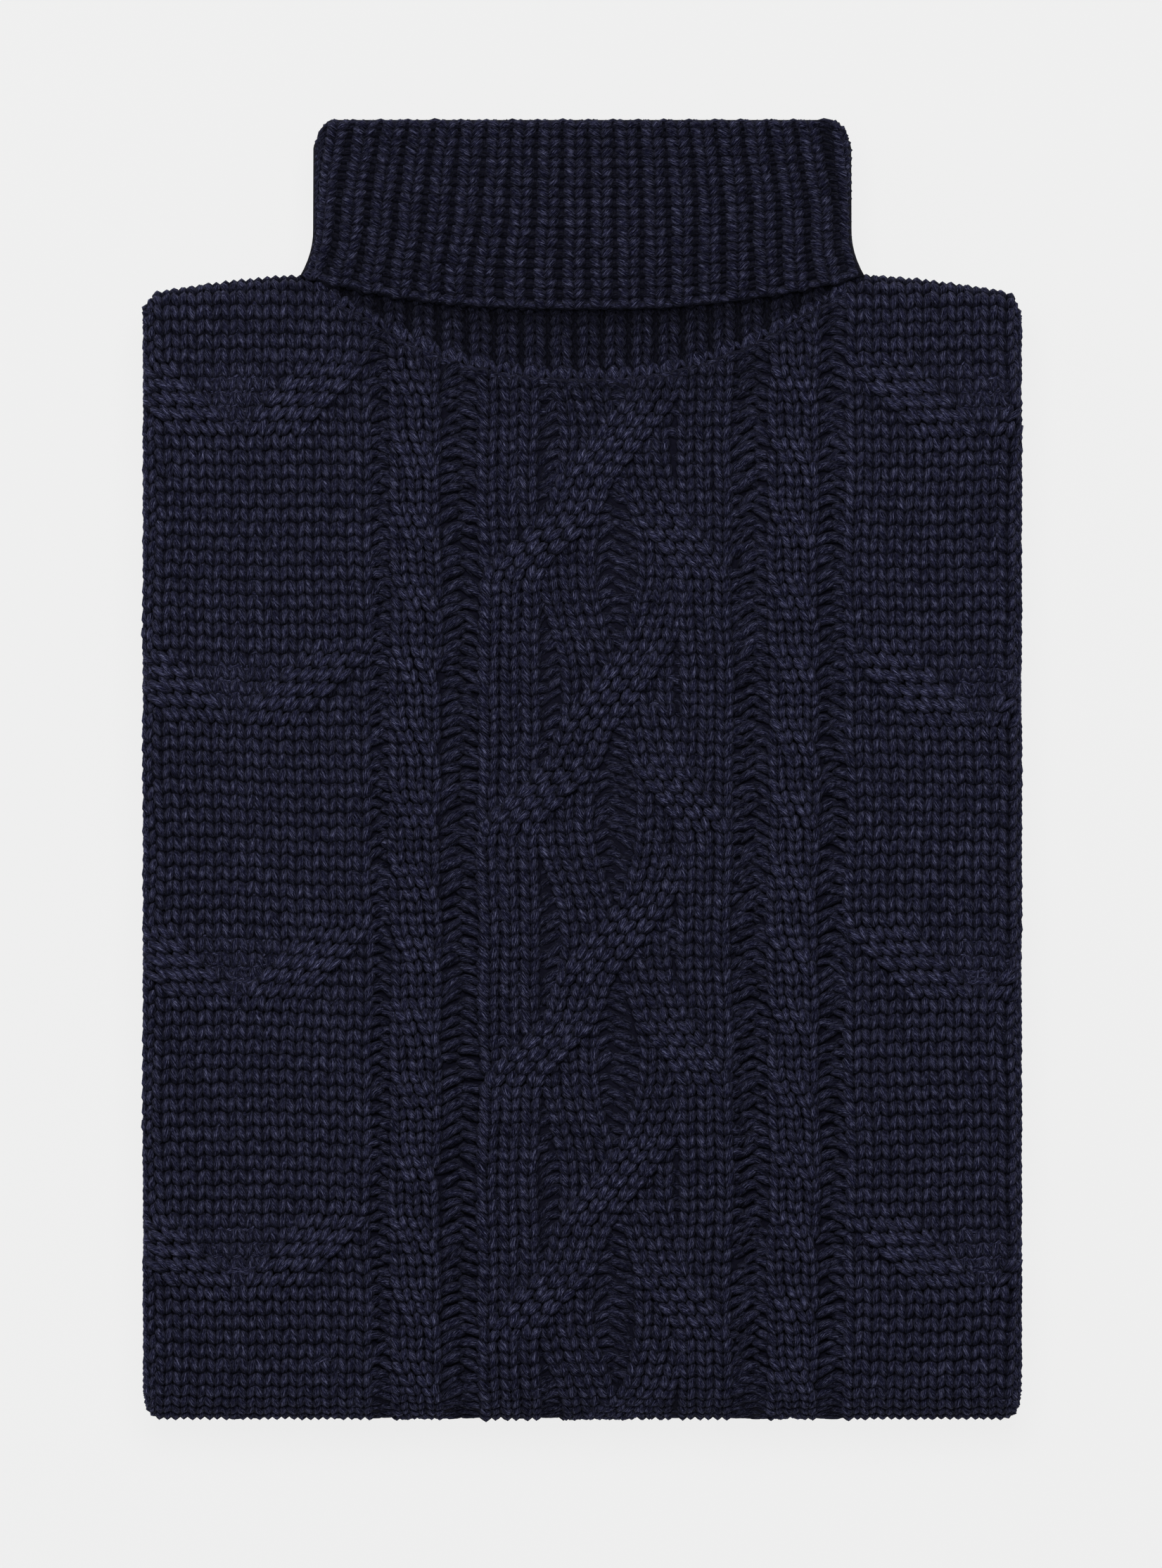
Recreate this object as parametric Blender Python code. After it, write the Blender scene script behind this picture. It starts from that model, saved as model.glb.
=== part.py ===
"""A cable-knit sweater with a turned-down roll neck, folded and lying face up.

The sides and sleeves are folded behind the body, and the body is then folded in half, hem
up behind the shoulders. The front panel is one wall of knitted cloth. It covers the top,
rolls over the side folds and the shoulders, and turns round the bottom fold to lie flat
below. A ribbed hem band ends it. The hidden back, sleeves and side strips are one rounded
solid, layered at its open end. The roll neck is a flattened tube: the stand inside, and
the turn-down that lies over it, with its hem above the neck seam.

Metres, +Z up. The garment lies on z = 0 with its collar towards +Y, and the origin is
below the middle of its outline. Heights called h are measured from the crease plane in
the middle of the folded bundle.
"""

import math
from collections import namedtuple

import bmesh
import bpy
from mathutils import Vector

# Driving dimensions of the folded garment.
HALF_WIDTH = 0.168
BODY_LENGTH = 0.437
COLLAR_RISE = 0.060
BUNDLE = 0.0215
SEAM_GAP = 0.0003

# The knitted wall.
WALL = 0.0035
SIDE_ROLL = 0.0075
ROLL_POWER = 2.4
CREASE = 0.0005
FOLD_REACH = 0.9
SHOULDER_DROP = 0.007
SHOULDER_TURN = math.radians(90)

# The neck seam, the rib collar and the hem band.
NECK_HALF = 0.1034
NECK_DEPTH = 0.039
NECK_POWER = 2.3
COLLAR_HALF = 0.1034
COLLAR_THICK_HALF = 0.0088
COLLAR_WALL = 0.0040
STAND_WALL = 0.0036
COLLAR_CORNER = 0.012
COLLAR_FLARE = 0.0046
COLLAR_FLARE_LENGTH = 0.0165
COLLAR_DROOP = 0.007
COLLAR_HEM_DEPTH = 0.0127
COLLAR_HEM_POWER = 2.4
TUBE_CLEARANCE = 0.0008
BACK_TUCK = 0.0028
BACK_TUCK_WIDTH = 0.016
RIB_COUNT = 42
RIB_HEIGHT = 0.0016
HEM_BAND = 0.060
HEM_EDGE_Y = 0.168

# Places that follow from them.
Y_BOTTOM = -(BODY_LENGTH + COLLAR_RISE) / 2
Y_TOP = -Y_BOTTOM
Y_SHOULDER = Y_BOTTOM + BODY_LENGTH
Z_CREASE = BUNDLE
ROLL_HALF_HEIGHT = (BUNDLE - CREASE) / 2
ROLL_CENTRE = CREASE + ROLL_HALF_HEIGHT
SHOULDER_REACH = FOLD_REACH * (BUNDLE - ROLL_CENTRE)
Y_FOLD = Y_BOTTOM + FOLD_REACH * BUNDLE
FLAT_HALF = HALF_WIDTH - SIDE_ROLL
CORE_TOP = BUNDLE - WALL - SEAM_GAP
COLLAR_CENTRE_Z = Z_CREASE + CORE_TOP + SEAM_GAP + STAND_WALL + SEAM_GAP + COLLAR_WALL - COLLAR_THICK_HALF

# The knitted bands of the front, left to right: edges and height over the purl ground.
Band = namedtuple("Band", "left right height")
BANDS = [
    Band(-0.1825, -0.0810, 0.0016),
    Band(-0.0743, -0.0533, 0.0022),
    Band(-0.0409, 0.0059, 0.0018),
    Band(0.0175, 0.0590, 0.0018),
    Band(0.0711, 0.0910, 0.0022),
    Band(0.1010, 0.2043, 0.0016),
]
BAND_EDGE = 0.0035

# Cable crossings: a raised strand runs from its foot to its head, again at each repeat.
Cable = namedtuple("Cable", "foot_x head_x foot_y rise repeat count half_width height")
CABLES = [
    Cable(-0.1790, -0.1420, 0.1555, -0.029, -0.1086, 4, 0.0125, 0.0032),
    Cable(-0.0890, -0.1200, 0.1555, -0.029, -0.1086, 4, 0.0125, 0.0032),
    Cable(0.1060, 0.1430, 0.1515, -0.029, -0.1078, 4, 0.0125, 0.0032),
    Cable(0.1980, 0.1620, 0.1515, -0.029, -0.1078, 4, 0.0125, 0.0032),
    Cable(-0.0030, -0.0330, 0.0950, -0.018, -0.0966, 4, 0.0115, 0.0032),
    Cable(0.0240, 0.0510, 0.0920, -0.018, -0.0966, 4, 0.0115, 0.0032),
    Cable(0.0240, -0.0040, 0.1340, -0.023, -0.0945, 4, 0.0095, 0.0034),
]
# Purl windows between the strands of the middle braid, beside each centre crossing.
Window = namedtuple("Window", "x y half_x half_y repeat count")
WINDOWS = [
    Window(-0.0125, 0.0270, 0.0045, 0.0150, -0.0960, 3),
    Window(0.0290, 0.0290, 0.0050, 0.0090, -0.0960, 3),
]
# Two-over-two rope cables: middle, half width, height of the turns and their spacing.
Rope = namedtuple("Rope", "middle half_width height turn lean")
ROPES = [
    Rope(-0.0638, 0.0105, 0.0013, 0.0188, 0.9),
    Rope(0.0811, 0.0100, 0.0013, 0.0188, 0.9),
]

# How finely the front is cut into sections and columns.
TOP_SECTIONS = 84
FOLD_SECTIONS = 10
SHOULDER_SECTIONS = 4
UNDER_SECTIONS = 2
ROLL_TURNS_OUTER = [36, 66, 98, 135, 180]
ROLL_TURNS_INNER = [30, 60, 90, 120, 150, 180]
INNER_COLUMNS = 24
RELIEF_FADE = 0.010

NAVY = (0.020, 0.021, 0.040, 1.0)
NAVY_SHADE = (0.014, 0.014, 0.028, 1.0)

Column = namedtuple("Column", "x h across up")
Station = namedtuple("Station", "kind amount")


def smooth(value):
    """An S-curve from 0 to 1, flat outside that range."""
    value = min(max(value, 0.0), 1.0)
    return value * value * (3 - 2 * value)


def power(value, exponent):
    """A signed power, for the round sides of a superellipse."""
    return math.copysign(abs(value) ** exponent, value)


# The outline in plan.


def shoulder_edge(x):
    """Where the shoulder's roll reaches furthest towards +Y."""
    out = max(abs(x) - NECK_HALF, 0.0) / (HALF_WIDTH - NECK_HALF)
    return Y_SHOULDER - SHOULDER_DROP * out**1.6


def shoulder_axis(x):
    """The line that the shoulder rolls about."""
    return shoulder_edge(x) - SHOULDER_REACH


def neck_seam(x):
    """The seam between the front panel and the stand, seen from above."""
    share = min(abs(x) / NECK_HALF, 1.0)
    return Y_SHOULDER - NECK_DEPTH * (1 - share**NECK_POWER)


def front_end(x):
    """How far the front reaches in column x: its last straight y, and its turn over the shoulder."""
    axis = shoulder_axis(x)
    if abs(x) >= NECK_HALF:
        return axis, SHOULDER_TURN
    past = neck_seam(x) - axis
    if past <= 0:
        return neck_seam(x), 0.0
    return axis, math.asin(min(past / SHOULDER_REACH, 1.0))


# The knitted relief of the front.


def band_height(x):
    """The plateau that the knitted bands make over the purl ground."""
    best = 0.0
    for band in BANDS:
        inside = min(x - band.left, band.right - x)
        best = max(best, band.height * smooth(inside / BAND_EDGE + 0.5))
    return best


def cable_height(x, y):
    """The strands that cross over, as round ridges that fade out at both ends."""
    best = 0.0
    for cable in CABLES:
        run = Vector((cable.head_x - cable.foot_x, cable.rise))
        for k in range(cable.count):
            from_foot = Vector((x - cable.foot_x, y - cable.foot_y - k * cable.repeat))
            along = from_foot.dot(run) / run.length_squared
            off = abs(from_foot.cross(run)) / run.length / cable.half_width
            if off < 1:
                ends = smooth((along + 0.25) / 0.45) * smooth((1.25 - along) / 0.45)
                best = max(best, cable.height * math.sqrt(1 - off * off) * ends)
    return best


def rope_height(x, y):
    """The slanting turns of the rope cables."""
    for rope in ROPES:
        off = abs(x - rope.middle) / rope.half_width
        if off < 1:
            phase = (y + rope.lean * (x - rope.middle)) / rope.turn
            return rope.height * (1 - off * off) * (0.5 + 0.5 * math.cos(2 * math.pi * phase))
    return 0.0


def window_depth(x, y):
    """How far the purl windows sink the braid, from 0 to 1."""
    deepest = 0.0
    for window in WINDOWS:
        for k in range(window.count):
            across = (x - window.x) / window.half_x
            along = (y - window.y - k * window.repeat) / window.half_y
            deepest = max(deepest, smooth(1.4 - across * across - along * along))
    return deepest


def relief(x, y):
    """The knit's height over the purl ground at a point of the front."""
    ground = band_height(x) * (1 - window_depth(x, y))
    return ground + cable_height(x, y) + rope_height(x, y)


# The cross-section of one half of the folded bundle, and its sweep round the bottom fold.


def side_column(side, turn):
    """A point of the side roll, from its top at turn 0 to its lip at the crease at turn pi."""
    out = power(math.sin(turn), 2 / ROLL_POWER)
    up = power(math.cos(turn), 2 / ROLL_POWER)
    normal = Vector((out ** (ROLL_POWER - 1) / SIDE_ROLL, power(up, ROLL_POWER - 1) / ROLL_HALF_HEIGHT))
    normal.normalize()
    x = side * (FLAT_HALF + SIDE_ROLL * out)
    return Column(x, ROLL_CENTRE + ROLL_HALF_HEIGHT * up, side * normal.x, normal.y)


def section(flat_xs, turns):
    """The columns of a section, from the left lip over the top to the right lip."""
    left = [side_column(-1, math.radians(t)) for t in reversed(turns)]
    right = [side_column(1, math.radians(t)) for t in turns]
    return left + [Column(x, BUNDLE, 0.0, 1.0) for x in flat_xs] + right


def neck_columns():
    """Columns where the neck seam runs into the shoulder fold, which turns fast there."""
    return [side * (NECK_HALF - back) for side in (-1, 1) for back in (0.0, 0.0015, 0.005)]


def relief_columns():
    """The flat columns of the front's outer face, closer where the knit changes."""
    xs = [-FLAT_HALF, FLAT_HALF]
    steps = [8, 3, 6, 6, 3, 7]
    for band, count in zip(BANDS, steps):
        left = max(band.left, -FLAT_HALF)
        right = min(band.right, FLAT_HALF)
        xs += [left + (right - left) * i / count for i in range(count + 1)]
    xs += [(a.right + b.left) / 2 for a, b in zip(BANDS, BANDS[1:])]
    return sorted(set(xs + neck_columns()))


def evenly(low, high, count):
    """count + 1 values from low to high."""
    return [low + (high - low) * i / count for i in range(count + 1)]


def stations(under_end):
    """The stations of the sweep: over the shoulder, down the top, round the fold, and back below."""
    made = [Station("shoulder", 1 - i / SHOULDER_SECTIONS) for i in range(SHOULDER_SECTIONS)]
    made += [Station("top", i / TOP_SECTIONS) for i in range(TOP_SECTIONS + 1)]
    made += [Station("fold", math.pi * i / FOLD_SECTIONS) for i in range(1, FOLD_SECTIONS + 1)]
    for i in range(1, UNDER_SECTIONS + 1):
        made.append(Station("under", Y_FOLD + (under_end - Y_FOLD) * i / UNDER_SECTIONS))
    return made


def swept(x, h, column_x, station):
    """The world point of section point (x, h) at a station; column_x says which column it is in."""
    end_y, end_turn = front_end(column_x)
    if station.kind == "shoulder":
        turn = station.amount * end_turn
        over = max(h - ROLL_CENTRE, 0.0)
        low = min(h, ROLL_CENTRE)
        return Vector((x, end_y + FOLD_REACH * over * math.sin(turn), Z_CREASE + low + over * math.cos(turn)))
    if station.kind == "top":
        return Vector((x, end_y + station.amount * (Y_FOLD - end_y), Z_CREASE + h))
    if station.kind == "fold":
        reach = FOLD_REACH * h * math.sin(station.amount)
        return Vector((x, Y_FOLD - reach, Z_CREASE + h * math.cos(station.amount)))
    return Vector((x, station.amount, Z_CREASE - h))


def raised(column, station):
    """How far the front's outer face stands over its plain base there."""
    end_y, end_turn = front_end(column.x)
    from_end = SHOULDER_REACH * end_turn
    if station.kind == "shoulder":
        y, fade = end_y, smooth(1 - station.amount) if end_turn > 0 else 0.0
    elif station.kind == "top":
        y = end_y + station.amount * (Y_FOLD - end_y)
        fade = smooth((end_y - y + from_end) / RELIEF_FADE)
    elif station.kind == "fold":
        y = Y_FOLD - FOLD_REACH * BUNDLE * station.amount
        fade = smooth(1 - 2 * station.amount / math.pi)
    else:
        return 0.0
    return fade * relief(column.x, y) * max(column.up, 0.0)


# Mesh helpers.


def strip_between(bm, first, second):
    """Faces between two chains of points: quads, or the shorter diagonals where their lengths are unlike."""
    if len(first) == len(second):
        for i in range(len(first) - 1):
            bm.faces.new((first[i], first[i + 1], second[i + 1], second[i]))
        return
    i = j = 0
    while i < len(first) - 1 or j < len(second) - 1:
        if j == len(second) - 1:
            by_first = True
        elif i == len(first) - 1:
            by_first = False
        else:
            by_first = (first[i + 1].co - second[j].co).length <= (second[j + 1].co - first[i].co).length
        if by_first:
            bm.faces.new((first[i], second[j], first[i + 1]))
            i += 1
        else:
            bm.faces.new((first[i], second[j], second[j + 1]))
            j += 1


def sheet(bm, columns, rows, place):
    """A grid with one line of points per row, each put where place(column, row) says. Returns the lines."""
    across = len(columns)
    made = bmesh.ops.create_grid(bm, x_segments=across - 1, y_segments=len(rows) - 1, size=1.0)["verts"]
    lines = [made[i * across : (i + 1) * across] for i in range(len(rows))]
    for row, line in zip(rows, lines):
        for column, vert in zip(columns, line):
            vert.co = place(column, row)
    return lines


def finish(bm, name, colour):
    """Welds, turns the faces outwards and makes the object with its own material."""
    bmesh.ops.remove_doubles(bm, verts=bm.verts[:], dist=0.00002)
    bmesh.ops.dissolve_degenerate(bm, edges=bm.edges[:], dist=0.00001)
    bmesh.ops.recalc_face_normals(bm, faces=bm.faces[:])
    mesh = bpy.data.meshes.new(name)
    bm.to_mesh(mesh)
    bm.free()
    mesh.shade_smooth()
    mesh.set_sharp_from_angle(angle=math.radians(50))
    made = bpy.data.objects.new(name, mesh)
    material = bpy.data.materials.new(name + "_knit")
    material.use_nodes = True
    shader = material.node_tree.nodes["Principled BSDF"]
    shader.inputs["Base Color"].default_value = colour
    shader.inputs["Roughness"].default_value = 0.9
    shader.inputs["Metallic"].default_value = 0.0
    mesh.materials.append(material)
    return made


def merge_flat(bm):
    """Makes one face of each flat stretch."""
    bmesh.ops.remove_doubles(bm, verts=bm.verts[:], dist=0.00002)
    bmesh.ops.dissolve_limit(bm, angle_limit=0.004, verts=bm.verts[:], edges=bm.edges[:])


# The pieces.


def swept_wall(name, outer, inner, rows, lift, colour):
    """A wall swept along rows: outer columns lifted by lift, over a plain inside."""

    def outside(column, row):
        up = lift(column, row)
        return swept(column.x + column.across * up, column.h + column.up * up, column.x, row)

    def inside(column, row):
        return swept(column.x - column.across * WALL, column.h - column.up * WALL, column.x, row)

    bm = bmesh.new()
    outer_lines = sheet(bm, outer, rows, outside)
    inner_lines = sheet(bm, inner, rows, inside)
    for side in (0, -1):
        strip_between(bm, [line[side] for line in outer_lines], [line[side] for line in inner_lines])
        strip_between(bm, outer_lines[side], inner_lines[side])
    merge_flat(bm)
    return finish(bm, name, colour)


def front():
    """The front panel, from the shoulders round the bottom fold to the hem band."""
    outer = section(relief_columns(), ROLL_TURNS_OUTER)
    inside = evenly(-FLAT_HALF, FLAT_HALF, INNER_COLUMNS) + neck_columns()
    inner = section(sorted(set(inside)), ROLL_TURNS_INNER)
    rows = stations(HEM_EDGE_Y - HEM_BAND - SEAM_GAP)
    return swept_wall("front", outer, inner, rows, raised, NAVY)


def hem_rib():
    """The ribbed hem band, flat below and ribbed where it rolls over the sides."""
    turns = [0] + evenly(15, 180, 10)
    outer = section([], turns)
    inner = section([-FLAT_HALF, 0.0, FLAT_HALF], ROLL_TURNS_INNER)
    order = {column: i for i, column in enumerate(outer)}

    def ribs(column, row):
        up_the_side = min(order[column], len(outer) - 1 - order[column])
        sunk = up_the_side % 2 == 0 and 0 < up_the_side < len(turns) - 1
        return -RIB_HEIGHT if sunk else 0.0

    ends = evenly(HEM_EDGE_Y - HEM_BAND, HEM_EDGE_Y, 3)
    return swept_wall("hem_rib", outer, inner, [Station("under", y) for y in ends], ribs, NAVY_SHADE)


# The folded layers' open end: each layer's edge is a round bulge, set back by its own amount.
LAYER_SET_BACKS_LOWER = [0.004, 0.001, 0.006, 0.003]
LAYER_SET_BACKS_UPPER = [0.0030, 0.0014]
LAYER_BULGE = 0.0013
LAYER_CUTS = 3
LOWER_END_Y = HEM_EDGE_Y - 0.001
CORE_COLUMNS = 16


def core_levels():
    """Heights h of the layers' solid from bottom to top, each with the set-back and bulge of its layer."""
    levels = []
    for low, high, set_backs in (
        (-CORE_TOP, -CREASE, LAYER_SET_BACKS_LOWER),
        (CREASE, ROLL_CENTRE, LAYER_SET_BACKS_UPPER),
    ):
        thick = (high - low) / len(set_backs)
        for i, set_back in enumerate(set_backs):
            for k in range(LAYER_CUTS):
                share = k / LAYER_CUTS
                bulge = LAYER_BULGE * math.sin(math.pi * share)
                levels.append((low + (i + share) * thick, set_back - bulge))
    levels += [(h, 0.0) for h in evenly(ROLL_CENTRE, CORE_TOP, 4)]
    return levels


def core_half_width(h):
    """How wide the hidden layers are at height h, just inside the wall's side rolls."""
    half = ROLL_HALF_HEIGHT - WALL - SEAM_GAP
    up = (abs(h) - ROLL_CENTRE) / half
    if up >= 1:
        return FLAT_HALF
    if up <= -0.88:
        return FLAT_HALF - SEAM_GAP
    return FLAT_HALF + (SIDE_ROLL - WALL - SEAM_GAP) * (1 - abs(up) ** ROLL_POWER) ** (1 / ROLL_POWER)


def core_radius(x):
    """The radius of the hidden layers' rolls about ROLL_CENTRE in column x, less towards the sides."""
    half = ROLL_HALF_HEIGHT - WALL - SEAM_GAP
    past = (abs(x) - FLAT_HALF) / (SIDE_ROLL - WALL - SEAM_GAP)
    if past <= 0:
        return half
    return half * (1 - min(past, 1.0) ** ROLL_POWER) ** (1 / ROLL_POWER)


def core_end(x, h, set_back):
    """Where the hidden layers end towards +Y."""
    radius = core_radius(x)
    if h > ROLL_CENTRE:
        return shoulder_axis(x) + FOLD_REACH * math.sqrt(max(radius**2 - (h - ROLL_CENTRE) ** 2, 0.0))
    if h > 0:
        return shoulder_axis(x) + FOLD_REACH * radius - set_back
    return min(LOWER_END_Y, shoulder_axis(x)) - set_back


def core_fold(x, h, _set_back):
    """Where the hidden layers turn at the bottom fold."""
    radius = ROLL_CENTRE + core_radius(x)
    return Y_FOLD - FOLD_REACH * math.sqrt(max(radius**2 - h * h, 0.0))


def folded_layers():
    """The hidden back, sleeves, side strips and lower half, as one rounded solid layered at its end."""
    columns = [math.sin(share * math.pi / 2) for share in evenly(-1, 1, CORE_COLUMNS)]
    levels = core_levels()

    def placed(end_of):
        def place(share, level):
            h, set_back = level
            x = share * core_half_width(h)
            return Vector((x, end_of(x, h, set_back), Z_CREASE + h))

        return place

    bm = bmesh.new()
    near = sheet(bm, columns, levels, placed(core_fold))
    far = sheet(bm, columns, levels, placed(core_end))
    for side in (0, -1):
        strip_between(bm, near[side], far[side])
        strip_between(bm, [line[side] for line in near], [line[side] for line in far])
    merge_flat(bm)
    return finish(bm, "folded_layers", NAVY_SHADE)


# The roll neck. Its ring runs from the middle of the front, round the wearer's left, to the back.

FLAT_RING = COLLAR_HALF - COLLAR_THICK_HALF
ARC_RING = math.pi * COLLAR_THICK_HALF
RING = 4 * FLAT_RING + 2 * ARC_RING


def ring_point(along, inset):
    """Across and up from the tube's middle, at a distance round its outer ring."""
    along %= RING
    side = 1
    if along > RING / 2:
        along, side = RING - along, -1
    radius = COLLAR_THICK_HALF - inset
    if along < FLAT_RING:
        return side * along, radius
    if along > FLAT_RING + ARC_RING:
        return side * (RING / 2 - along), -radius
    angle = (along - FLAT_RING) / COLLAR_THICK_HALF
    return side * (FLAT_RING + radius * math.sin(angle)), radius * math.cos(angle)


def flared(x, y):
    """The tube's x, a little further out near its base."""
    flare = min(max(0.0, 1 - (y - Y_SHOULDER) / COLLAR_FLARE_LENGTH), 1.0)
    return x + math.copysign(COLLAR_FLARE * flare**2 * abs(x / COLLAR_HALF) ** 6, x)


def collar_point(x, up, y):
    """Puts a ring point into the world: the tube flares at its base and droops past the shoulders."""
    droop = COLLAR_DROOP * smooth((y - Y_SHOULDER) / (1.3 * COLLAR_RISE)) * 1.3
    return Vector((flared(x, y), y, COLLAR_CENTRE_Z + up - droop))


def collar_top(x):
    """The collar's top fold, with its two round corners."""
    past = max(abs(x) - (COLLAR_HALF - COLLAR_CORNER), 0.0)
    return Y_TOP - COLLAR_CORNER + math.sqrt(max(COLLAR_CORNER**2 - past**2, 0.0))


def back_edge(x):
    """Where the collar's back layers end, just clear of the shoulders and the folded layers."""
    return Y_SHOULDER + TUBE_CLEARANCE - BACK_TUCK * smooth((NECK_HALF - abs(x)) / BACK_TUCK_WIDTH)


def turndown_hem(x, up):
    """The lower edge of the turn-down."""
    if up <= 0:
        return back_edge(x)
    share = min(abs(x) / COLLAR_HALF, 1.0)
    return Y_SHOULDER + TUBE_CLEARANCE - COLLAR_HEM_DEPTH * (1 - share**COLLAR_HEM_POWER)


def stand_hem(x, up):
    """The lower edge of the stand: the neck seam in front."""
    if up <= 0:
        return back_edge(x)
    return neck_seam(flared(x, Y_SHOULDER)) + 2 * SEAM_GAP


def tube_wall(name, count_outer, count_inner, outer_rows, inner_rows, colour):
    """A tube of cloth: each row puts a point at a share of the ring, by its number round the ring."""

    def ring_place(count):
        def place(index, row):
            return row(RING * index / count, index)

        return place

    bm = bmesh.new()
    outer = sheet(bm, range(count_outer + 1), outer_rows, ring_place(count_outer))
    inner = sheet(bm, range(count_inner + 1), inner_rows, ring_place(count_inner))
    for end in (0, -1):
        strip_between(bm, outer[end], inner[end])
    return finish(bm, name, colour)


def tube_row(inset, share, hem, top, lift):
    """One ring of a tube wall: share runs from its hem at 0 to its top edge at 1."""

    def point(along, index):
        x, up = ring_point(along, inset - lift(index))
        low = hem(x, up)
        return collar_point(x, up, low + share * (top(x) - low))

    return point


def rib(index):
    """The ribs' height round the ring: two raised points, then a sunk one."""
    return 0.0 if index % 3 else -RIB_HEIGHT


def plain(index):
    """No relief."""
    return 0.0


def collar_turndown():
    """The turned-down half of the roll neck, ribbed outside, curled over the stand at its top fold."""
    fold = COLLAR_WALL / 2

    def top(reach):
        return lambda x: collar_top(x) - reach

    outer_rows = [tube_row(0.0, share, turndown_hem, top(fold), rib) for share in evenly(0, 1, 4)]
    for turn in (45, 90):
        angle = math.radians(turn)
        inset = COLLAR_WALL * (1 - math.cos(angle))
        outer_rows.append(tube_row(inset, 1.0, turndown_hem, top(fold * (1 - math.sin(angle))), plain))
    inner_rows = [tube_row(COLLAR_WALL, share, turndown_hem, top(COLLAR_WALL), plain) for share in evenly(0, 1, 3)]
    return tube_wall("collar_turndown", 3 * RIB_COUNT, 2 * RIB_COUNT, outer_rows, inner_rows, NAVY)


def neck_stand():
    """The inner half of the roll neck, from the neck seam up to the top fold."""
    outside = COLLAR_WALL + 1.5 * SEAM_GAP

    def top(x):
        return collar_top(x) - COLLAR_WALL - SEAM_GAP

    def ribs(index):
        return 0.0 if index % 2 else -RIB_HEIGHT / 2

    outer_rows = [tube_row(outside, share, stand_hem, top, ribs) for share in (0, 0.15, 0.35, 0.55, 0.75, 1)]
    inner_rows = [tube_row(outside + STAND_WALL, share, stand_hem, top, plain) for share in (0, 0.35, 1)]
    return tube_wall("neck_stand", 2 * RIB_COUNT, 2 * RIB_COUNT, outer_rows, inner_rows, NAVY_SHADE)


def main():
    """Clears the scene and builds the sweater in its own collection."""
    for old in list(bpy.data.objects):
        bpy.data.objects.remove(old)
    sweater = bpy.data.collections.new("folded_sweater")
    bpy.context.scene.collection.children.link(sweater)
    for build in (front, hem_rib, folded_layers, collar_turndown, neck_stand):
        sweater.objects.link(build())


main()
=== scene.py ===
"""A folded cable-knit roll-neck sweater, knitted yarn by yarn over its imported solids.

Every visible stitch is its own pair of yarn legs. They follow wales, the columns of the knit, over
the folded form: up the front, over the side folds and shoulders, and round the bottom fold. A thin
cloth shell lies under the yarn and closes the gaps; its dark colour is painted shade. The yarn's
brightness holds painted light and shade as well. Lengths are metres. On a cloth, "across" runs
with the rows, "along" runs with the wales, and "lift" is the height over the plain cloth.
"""

import logging
import math
from dataclasses import dataclass, field
from enum import Enum
from typing import Callable, NamedTuple, Protocol

import bpy
import numpy as np
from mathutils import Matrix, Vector

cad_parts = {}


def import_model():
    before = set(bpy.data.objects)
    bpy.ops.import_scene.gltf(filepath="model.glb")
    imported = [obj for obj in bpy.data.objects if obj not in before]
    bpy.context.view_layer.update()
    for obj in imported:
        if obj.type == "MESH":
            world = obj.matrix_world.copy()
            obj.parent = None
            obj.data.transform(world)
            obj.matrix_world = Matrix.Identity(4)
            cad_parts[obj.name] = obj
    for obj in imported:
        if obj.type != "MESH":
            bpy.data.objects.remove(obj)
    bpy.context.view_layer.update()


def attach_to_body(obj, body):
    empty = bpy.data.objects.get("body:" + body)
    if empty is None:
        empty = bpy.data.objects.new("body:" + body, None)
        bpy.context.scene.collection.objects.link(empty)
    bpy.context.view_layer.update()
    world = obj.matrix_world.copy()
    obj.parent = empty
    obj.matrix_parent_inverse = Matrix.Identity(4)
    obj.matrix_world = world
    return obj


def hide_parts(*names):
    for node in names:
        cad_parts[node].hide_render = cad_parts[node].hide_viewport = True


LOG = logging.getLogger("sweater")
NUDGE = 0.001  # how far a point is lifted to find which way its cloth faces
Array = np.ndarray
Colour = tuple[float, float, float]
YarnPath = Callable[[Array], tuple[Array, Array, Array, Array]]


class Lean(Enum):
    """Which way the upper strand of a crossing leans as it rises."""

    RIGHT = 1
    LEFT = -1


class Facing(Enum):
    """Whether a wale's stitches point their V down or up."""

    UPRIGHT = 1
    INVERTED = -1


class Cloth(Protocol):
    """A knitted surface that yarn can be laid on."""

    def place(self, across: Array, along: Array, lift: Array) -> Array:
        """World points of the cloth's own coordinates."""

    def relief(self, across: Array, along: Array) -> Array:
        """How deep the stitches are modelled, less where they form the outline."""


def smooth(value: Array) -> Array:
    """An S-curve from 0 to 1, flat outside that range."""
    value = np.clip(value, 0.0, 1.0)
    return value * value * (3.0 - 2.0 * value)


def bump(value: Array) -> Array:
    """A round hump of height 1 at 0 that reaches 0 at -1 and 1."""
    return np.cos(np.clip(value, -1.0, 1.0) * math.pi / 2) ** 2


def unit(vectors: Array) -> Array:
    """Vectors scaled to length 1 along the last axis."""
    return vectors / np.maximum(np.linalg.norm(vectors, axis=-1, keepdims=True), 1e-9)


def outline_relief(flatness: Array) -> Array:
    """How deep stitches are modelled on cloth of a flatness: less where they form the outline."""
    return 0.45 + 0.55 * flatness


def straight(centre: float, lift: float, width: float) -> YarnPath:
    """The path of a wale that runs straight along the cloth at one place across it."""

    def path(where: Array) -> tuple[Array, Array, Array, Array]:
        """Across, along, lift and wale width at distances along the wale."""
        return (
            np.full_like(where, centre),
            where,
            np.full_like(where, lift),
            np.full_like(where, width),
        )

    return path


def linked(name: str, data: bpy.types.ID) -> bpy.types.Object:
    """A new object that holds the given data, linked to the scene."""
    made = bpy.data.objects.new(name, data)
    bpy.context.scene.collection.objects.link(made)
    return made


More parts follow.
